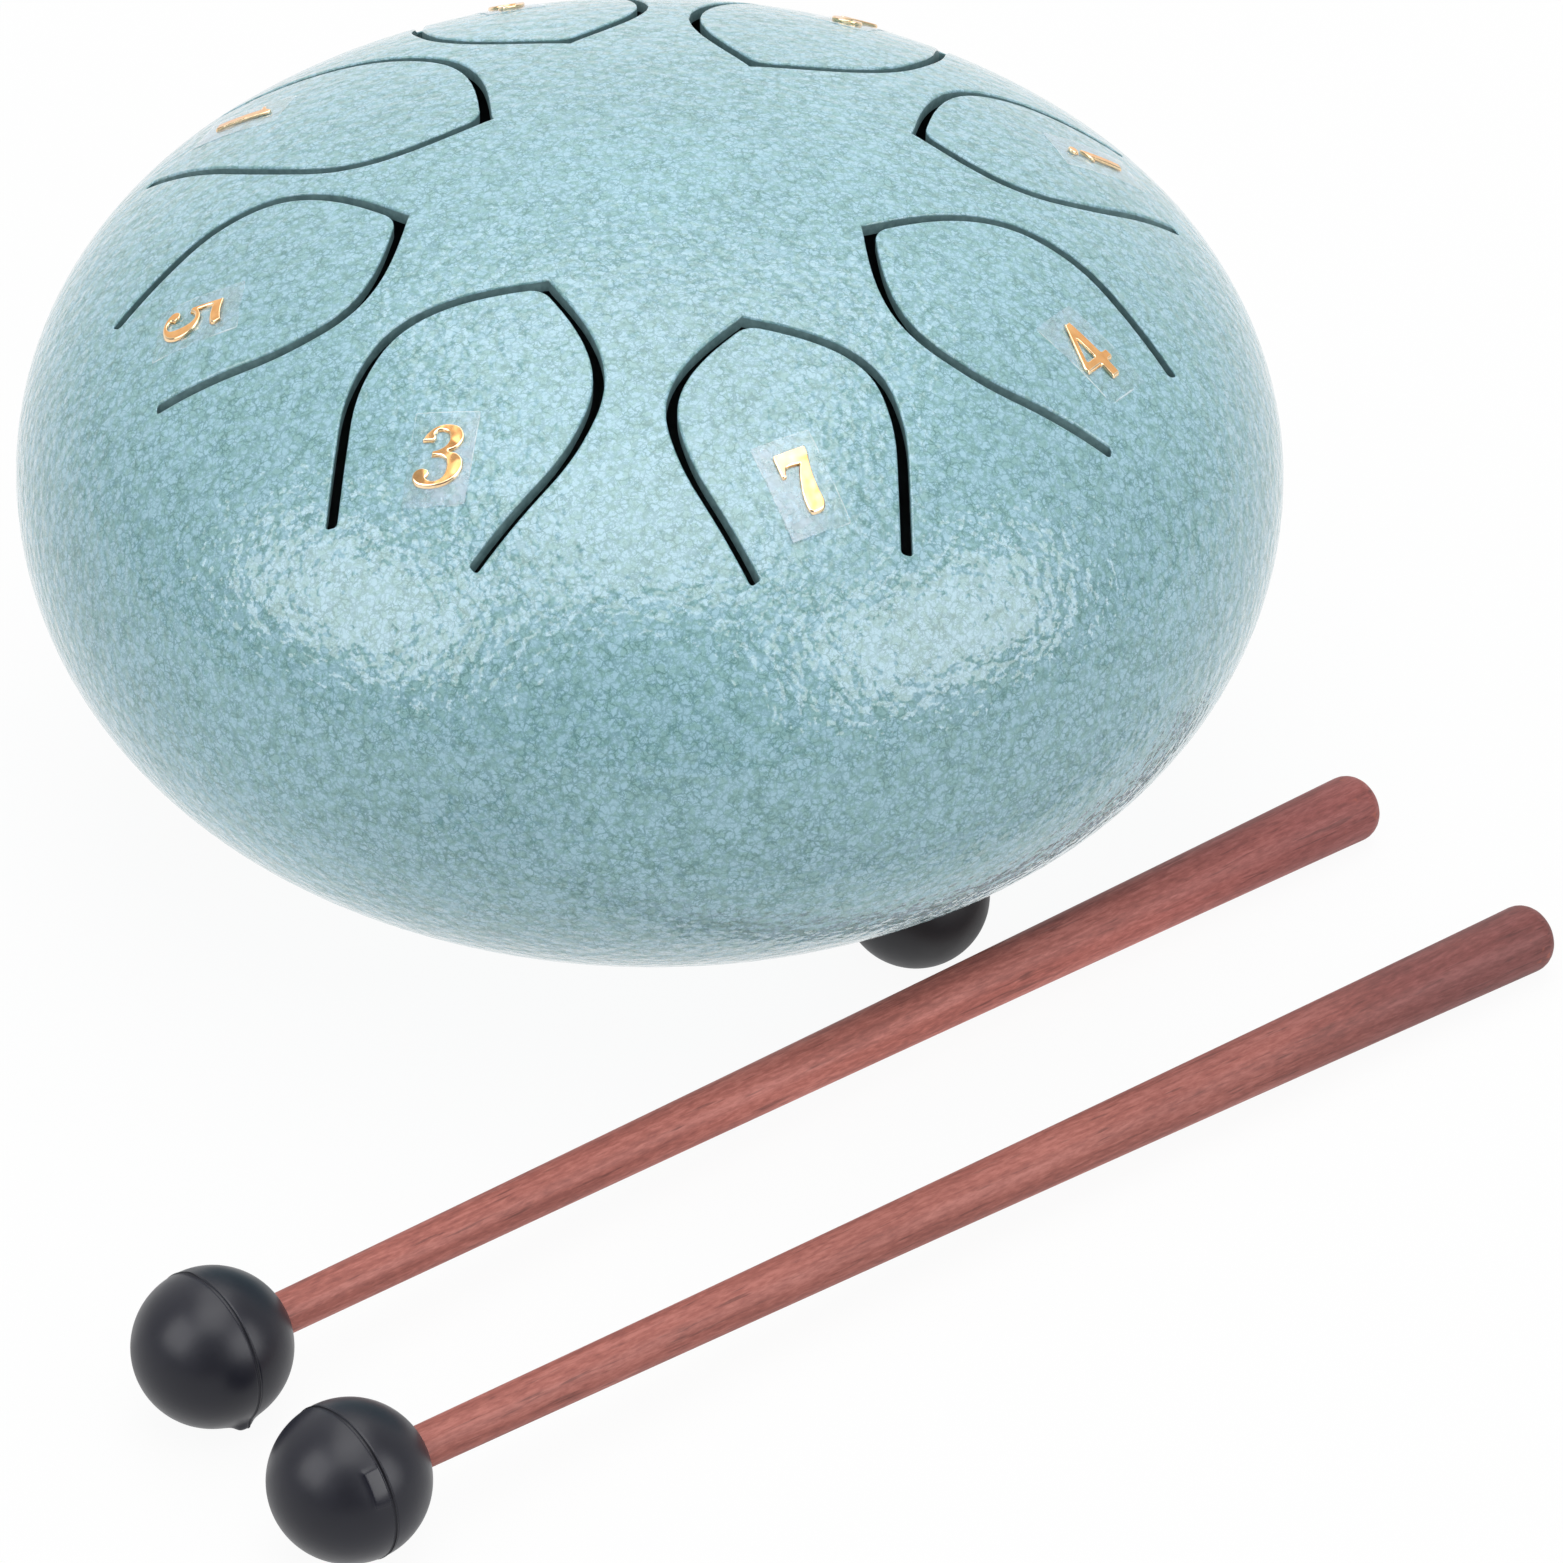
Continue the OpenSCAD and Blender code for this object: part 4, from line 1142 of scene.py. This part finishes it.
def handle(i):
    """A turned handle along +Z, from its end in the ball's socket to its round butt."""
    foot = BALL_R - SOCKET_L + CHAMFER
    profile = [(STICK_D / 2 - CHAMFER, foot), (STICK_D / 2, foot + CHAMFER)]
    profile += [(stick_r(x), x) for x in np.linspace(BALL_R - 4, BUTT_X, 60)]
    for a in np.linspace(0, math.pi / 2, 9)[1:]:
        profile.append((BUTT_D / 2 - BUTT_ROUND * (1 - math.cos(a)), BUTT_X + BUTT_ROUND * math.sin(a)))
    turns = around(HANDLE_N)
    uneven = UNEVEN * np.sin(UNEVEN_N * turns + 1.3 + 2.1 * i)
    rows = [[(0, 0, foot)]]
    for r, h in profile:
        begun = min(1, max(0, (h - UNEVEN_IN) / UNEVEN_IN)) if h < BUTT_X else 0
        rows.append(round_row(r + uneven * begun, h, turns))
    rows.append([(0, 0, BUTT_X + BUTT_ROUND)])
    return mesh_object("handle_%d" % (i + 1), *skin(rows), (WOODS[i],), 40)


def mallet(i):
    off, lead, turn = MALLETS[i]
    where = (Matrix.Rotation(math.radians(turn), 4, "Z")
             @ Matrix.Translation(Vector((-lead, -off, FLOOR_Z + REST_R)) * MM)
             @ Matrix.Rotation(math.pi / 2 + MALLET_TILT, 4, "Y"))
    body = "mallet_%d" % (i + 1)
    for part, slot, obj in (("handle", "stained_wood", handle(i)), ("head", "ball_rubber", moulded_ball(i))):
        lay(obj, where)
        finish_piece(obj, body, slot, body + "_" + part)


# each ball's moulding line: mean, cosine and sine part of its latitude over the turn, and the strength of the
# painted shade along it
PARTINGS = ((-2.4, 0.6, -1.8, 0.75), (-4.0, 1.5, -3.0, 1.0))
# half width of the flash, and the creases on both sides of it: depth, distance and half width
FLASH_W, CREASE_DEEP, CREASE_OFF, CREASE_W = 0.1, 0.05, 0.22, 0.08
# where ball 1's cut nub and its thickest flash lie, and where ball 2 was trimmed flat
NUB_TURN, NUB_LAT, NUB_R, NUB_H = -45.0, -3.5, (0.75, 1.05), 0.75
FLASH_TURN, FLASH_SPREAD, FLASH_MORE = 160.0, 8.0, 1.6
TRIM_TURN, TRIM_HALF, TRIM_FROM, TRIM_TO = -123.5, 2.3, -2.2, -0.22
TRIM_H, TRIM_FLAT, TRIM_EDGE = 0.08, 0.45, 0.12
# a ball's points: steps round it, and latitudes from its pole over the line to the mouth
BALL_TURNS = np.arange(0, 360, 1.8)
BALL_LATS = np.concatenate([np.arange(-88, -14, 2.0), np.arange(-14, -3, 0.55), np.arange(-3, 3, 0.3),
                            np.arange(3, 70, 2.0)])


def relief(i, t, lat, off):
    """How far ball i's skin stands out over a smooth ball, and where it was trimmed."""
    ridge = 0.8 + 0.25 * np.sin(3 * t + i) * np.sin(7 * t + 2)
    if i == 0:
        ridge = ridge + FLASH_MORE * np.exp(-((np.degrees(t) - FLASH_TURN) / FLASH_SPREAD) ** 2)
    grow = FLASH_H * ridge * np.exp(-(off / FLASH_W) ** 2)
    for side in (CREASE_OFF, -CREASE_OFF):
        grow = grow - CREASE_DEEP * np.exp(-((off - side) / CREASE_W) ** 2)
    along = np.radians(np.mod(np.degrees(t) - (NUB_TURN, TRIM_TURN)[i] + 180, 360) - 180) * BALL_R
    if i == 0:
        up = (lat - math.radians(NUB_LAT)) * BALL_R
        return grow + NUB_H / (1 + ((along / NUB_R[0]) ** 2 + (up / NUB_R[1]) ** 2) ** 2), np.zeros(off.shape)
    trimmed = 1.0
    for inside_by in (TRIM_HALF - along, along + TRIM_HALF, TRIM_TO - off, off - TRIM_FROM):
        trimmed = trimmed * (0.5 + 0.5 * np.tanh(inside_by / TRIM_EDGE))
    bulge = (off - (TRIM_FROM + TRIM_TO) / 2) ** 2 + 0.4 * along ** 2
    return grow + (TRIM_H + TRIM_FLAT * bulge / (2 * BALL_R)) * trimmed, trimmed


def moulded_ball(i):
    """A rubber ball round the origin, its socket towards +Z, with the marks that its mould left."""
    mean, cosine, sine, strength = PARTINGS[i]
    hole = STICK_D / 2 + SOCKET_GAP
    lats = np.append(BALL_LATS, 90 - math.degrees(math.asin((hole + MOUTH) / BALL_R)))
    t, lat = np.meshgrid(np.radians(BALL_TURNS), lats)
    # the rows of points bend so that one runs along the line
    line = mean + cosine * np.cos(t) + sine * np.sin(t)
    lat = lat + line * np.maximum(0, 1 - (lat / 60) ** 2) ** 2
    off = np.radians(lat - line) * BALL_R
    lat = np.radians(lat)
    way = np.stack([np.cos(lat) * np.cos(t), np.cos(lat) * np.sin(t), np.sin(lat)], -1)
    grow, trimmed = relief(i, t, lat, off)
    # painted shade along the moulding line, stronger in places round the ball
    dark = strength * np.exp(-(off / (0.085 + 0.03 * i)) ** 2) * (0.75 + 0.25 * np.sin(5 * t + 1))
    lip = math.sqrt(BALL_R ** 2 - (hole + MOUTH) ** 2)
    socket = ((hole + 0.1, lip - 0.04), (hole, lip - MOUTH), (hole, BALL_R - SOCKET_L + 0.02))
    rows = [[(0, 0, -BALL_R)], *(way * (BALL_R + grow)[..., None])]
    rows += [round_row(r, h, t[0]) for r, h in socket] + [[(0, 0, BALL_R - SOCKET_L)]]
    ball = mesh_object("ball_%d" % (i + 1), *skin(rows), (BALL_RUBBER,), 50)
    for name, mark in (("parting_shade", dark), ("trimmed", trimmed)):
        values = np.zeros(len(ball.data.vertices))
        values[1:mark.size + 1] = mark.ravel()
        ball.data.attributes.new(name, "FLOAT", "POINT").data.foreach_set("value", values)
    return ball


for i in range(2):
    mallet(i)

# stage, light and camera

FLOOR_BOX = ((-900, -900), (900, -900), (900, 1600), (-900, 1600))
# the floor's glow as it is seen and as it lights matt surfaces, and the share of it that keeps a shadow
FLOOR_SEEN, FLOOR_LIGHT, FLOOR_MATT = 1.0, 0.9, 0.06
# the room as mirrors see it: its level at the horizon beside the drum, what it gains towards the back and
# upwards, and its limits; then its level for matt surfaces
ROOM, ROOM_BACK, ROOM_UP, ROOM_LOW, ROOM_HIGH, ROOM_LIGHT = 0.26, 0.9, 0.24, 0.2, 1.1, 0.615
AIM = Vector((0, 0, 0.06))
# azimuth, elevation, distance, size, radiance, and whether mirrors and matt surfaces see it
LAMPS = {
    "softbox_left": (-146, 33, 1.0, (0.72, 0.72), 4.1, True, False),
    "softbox_right": (-36, 26, 1.0, (0.8, 0.72), 4.2, True, False),
    "fill_left": (-146, 33, 1.0, (0.72, 0.72), 1.3, False, True),
    "fill_right": (-36, 26, 1.0, (0.8, 0.72), 1.5, False, True),
    "overhead": (90, 87.5, 1.2, (0.86, 1.8), 2.18, True, True),
    "boom": (-76, 75, 0.97, (0.95, 0.72), 1.5, True, False),
}
# the camera, fitted to the photo: places in millimetres, its roll, and focal length and frame in pixels
EYE, TARGET = Vector((0, -769.5, 561.4)), Vector((15.9, -44.6, 29.0))
ROLL, FOCAL_PX, PHOTO_PX = 0.0221, 7552.82, 1563


def seen_or_not(n, seen, unseen):
    """A level that camera, mirror and clear rays see, and another one that lights matt surfaces."""
    path = n.add("LightPath").outputs
    kind = n.math("MAXIMUM", path["Is Camera Ray"], path["Is Glossy Ray"])
    kind = n.math("MAXIMUM", kind, path["Is Transmission Ray"])
    return n.add("MapRange", {"Value": kind, "To Min": unseen, "To Max": seen}).outputs["Result"]


def floor_look():
    """A white sweep: it keeps a share of the shadow that falls on it, and is clear from below."""
    n = Look("floor")
    glow = n.add("Emission", {"Strength": seen_or_not(n, FLOOR_SEEN, FLOOR_LIGHT)}).outputs[0]
    matt = n.add("BsdfDiffuse", {"Color": (0.8, 0.8, 0.8, 1)}).outputs[0]
    below = n.add("NewGeometry").outputs["Backfacing"]
    n.cover(n.either(below, n.either(FLOOR_MATT, glow, matt), n.add("BsdfTransparent").outputs[0]))
    return n.mat


def room():
    """The studio is white to the camera. To mirrors it lightens upwards and to the back."""
    world = bpy.data.worlds.new("studio")
    bpy.context.scene.world = world
    n = Nodes(world)
    way = n.add("SeparateXYZ", {0: n.add("TexCoord").outputs["Generated"]}).outputs
    level = n.total(n.times(way["Y"], ROOM_BACK), n.times(way["Z"], ROOM_UP), ROOM)
    level = n.math("MINIMUM", n.math("MAXIMUM", level, ROOM_LOW), ROOM_HIGH)
    glossy = n.add("LightPath").outputs["Is Glossy Ray"]
    seen = n.add("MapRange", {"Value": glossy, "To Min": 1.0, "To Max": level}).outputs["Result"]
    back = n.tree.nodes["Background"]
    back.inputs["Color"].default_value = (1, 1, 1, 1)
    n.put(back.inputs["Strength"], seen_or_not(n, seen, ROOM_LIGHT))


def softbox(name, azimuth, elevation, distance, size, radiance, glossy, diffuse):
    a, e = math.radians(azimuth), math.radians(elevation)
    light = bpy.data.lights.new(name, "AREA")
    light.shape = "RECTANGLE"
    light.size, light.size_y = size
    light.energy = radiance * math.pi * size[0] * size[1]
    obj = bpy.data.objects.new(name, light)
    away = Vector((math.cos(e) * math.cos(a), math.cos(e) * math.sin(a), math.sin(e)))
    obj.location = AIM + distance * away
    obj.rotation_euler = (obj.location - AIM).to_track_quat("Z", "Y").to_euler()
    obj.visible_camera = False
    obj.visible_glossy = glossy
    obj.visible_diffuse = diffuse
    bpy.context.scene.collection.objects.link(obj)


def look_through_camera():
    scene = bpy.context.scene
    forward = (TARGET - EYE).normalized()
    right = forward.cross(Vector((0, 0, 1))).normalized()
    up = right.cross(forward)
    right, up = (math.cos(ROLL) * right + math.sin(ROLL) * up, math.cos(ROLL) * up - math.sin(ROLL) * right)
    lens = bpy.data.cameras.new("camera")
    lens.sensor_width = 36
    lens.lens = lens.sensor_width * FOCAL_PX / PHOTO_PX
    lens.clip_start = 0.05
    camera = bpy.data.objects.new("camera", lens)
    scene.collection.objects.link(camera)
    axes = Matrix((right, up, -forward)).transposed().to_4x4()
    camera.matrix_world = Matrix.Translation(EYE * MM) @ axes
    scene.camera = camera
    scene.view_settings.view_transform = "Standard"


mesh_object("floor", [(x, y, FLOOR_Z) for x, y in FLOOR_BOX], [(0, 1, 2, 3)], (floor_look(),))
room()
for name, settings in LAMPS.items():
    softbox(name, *settings)
look_through_camera()
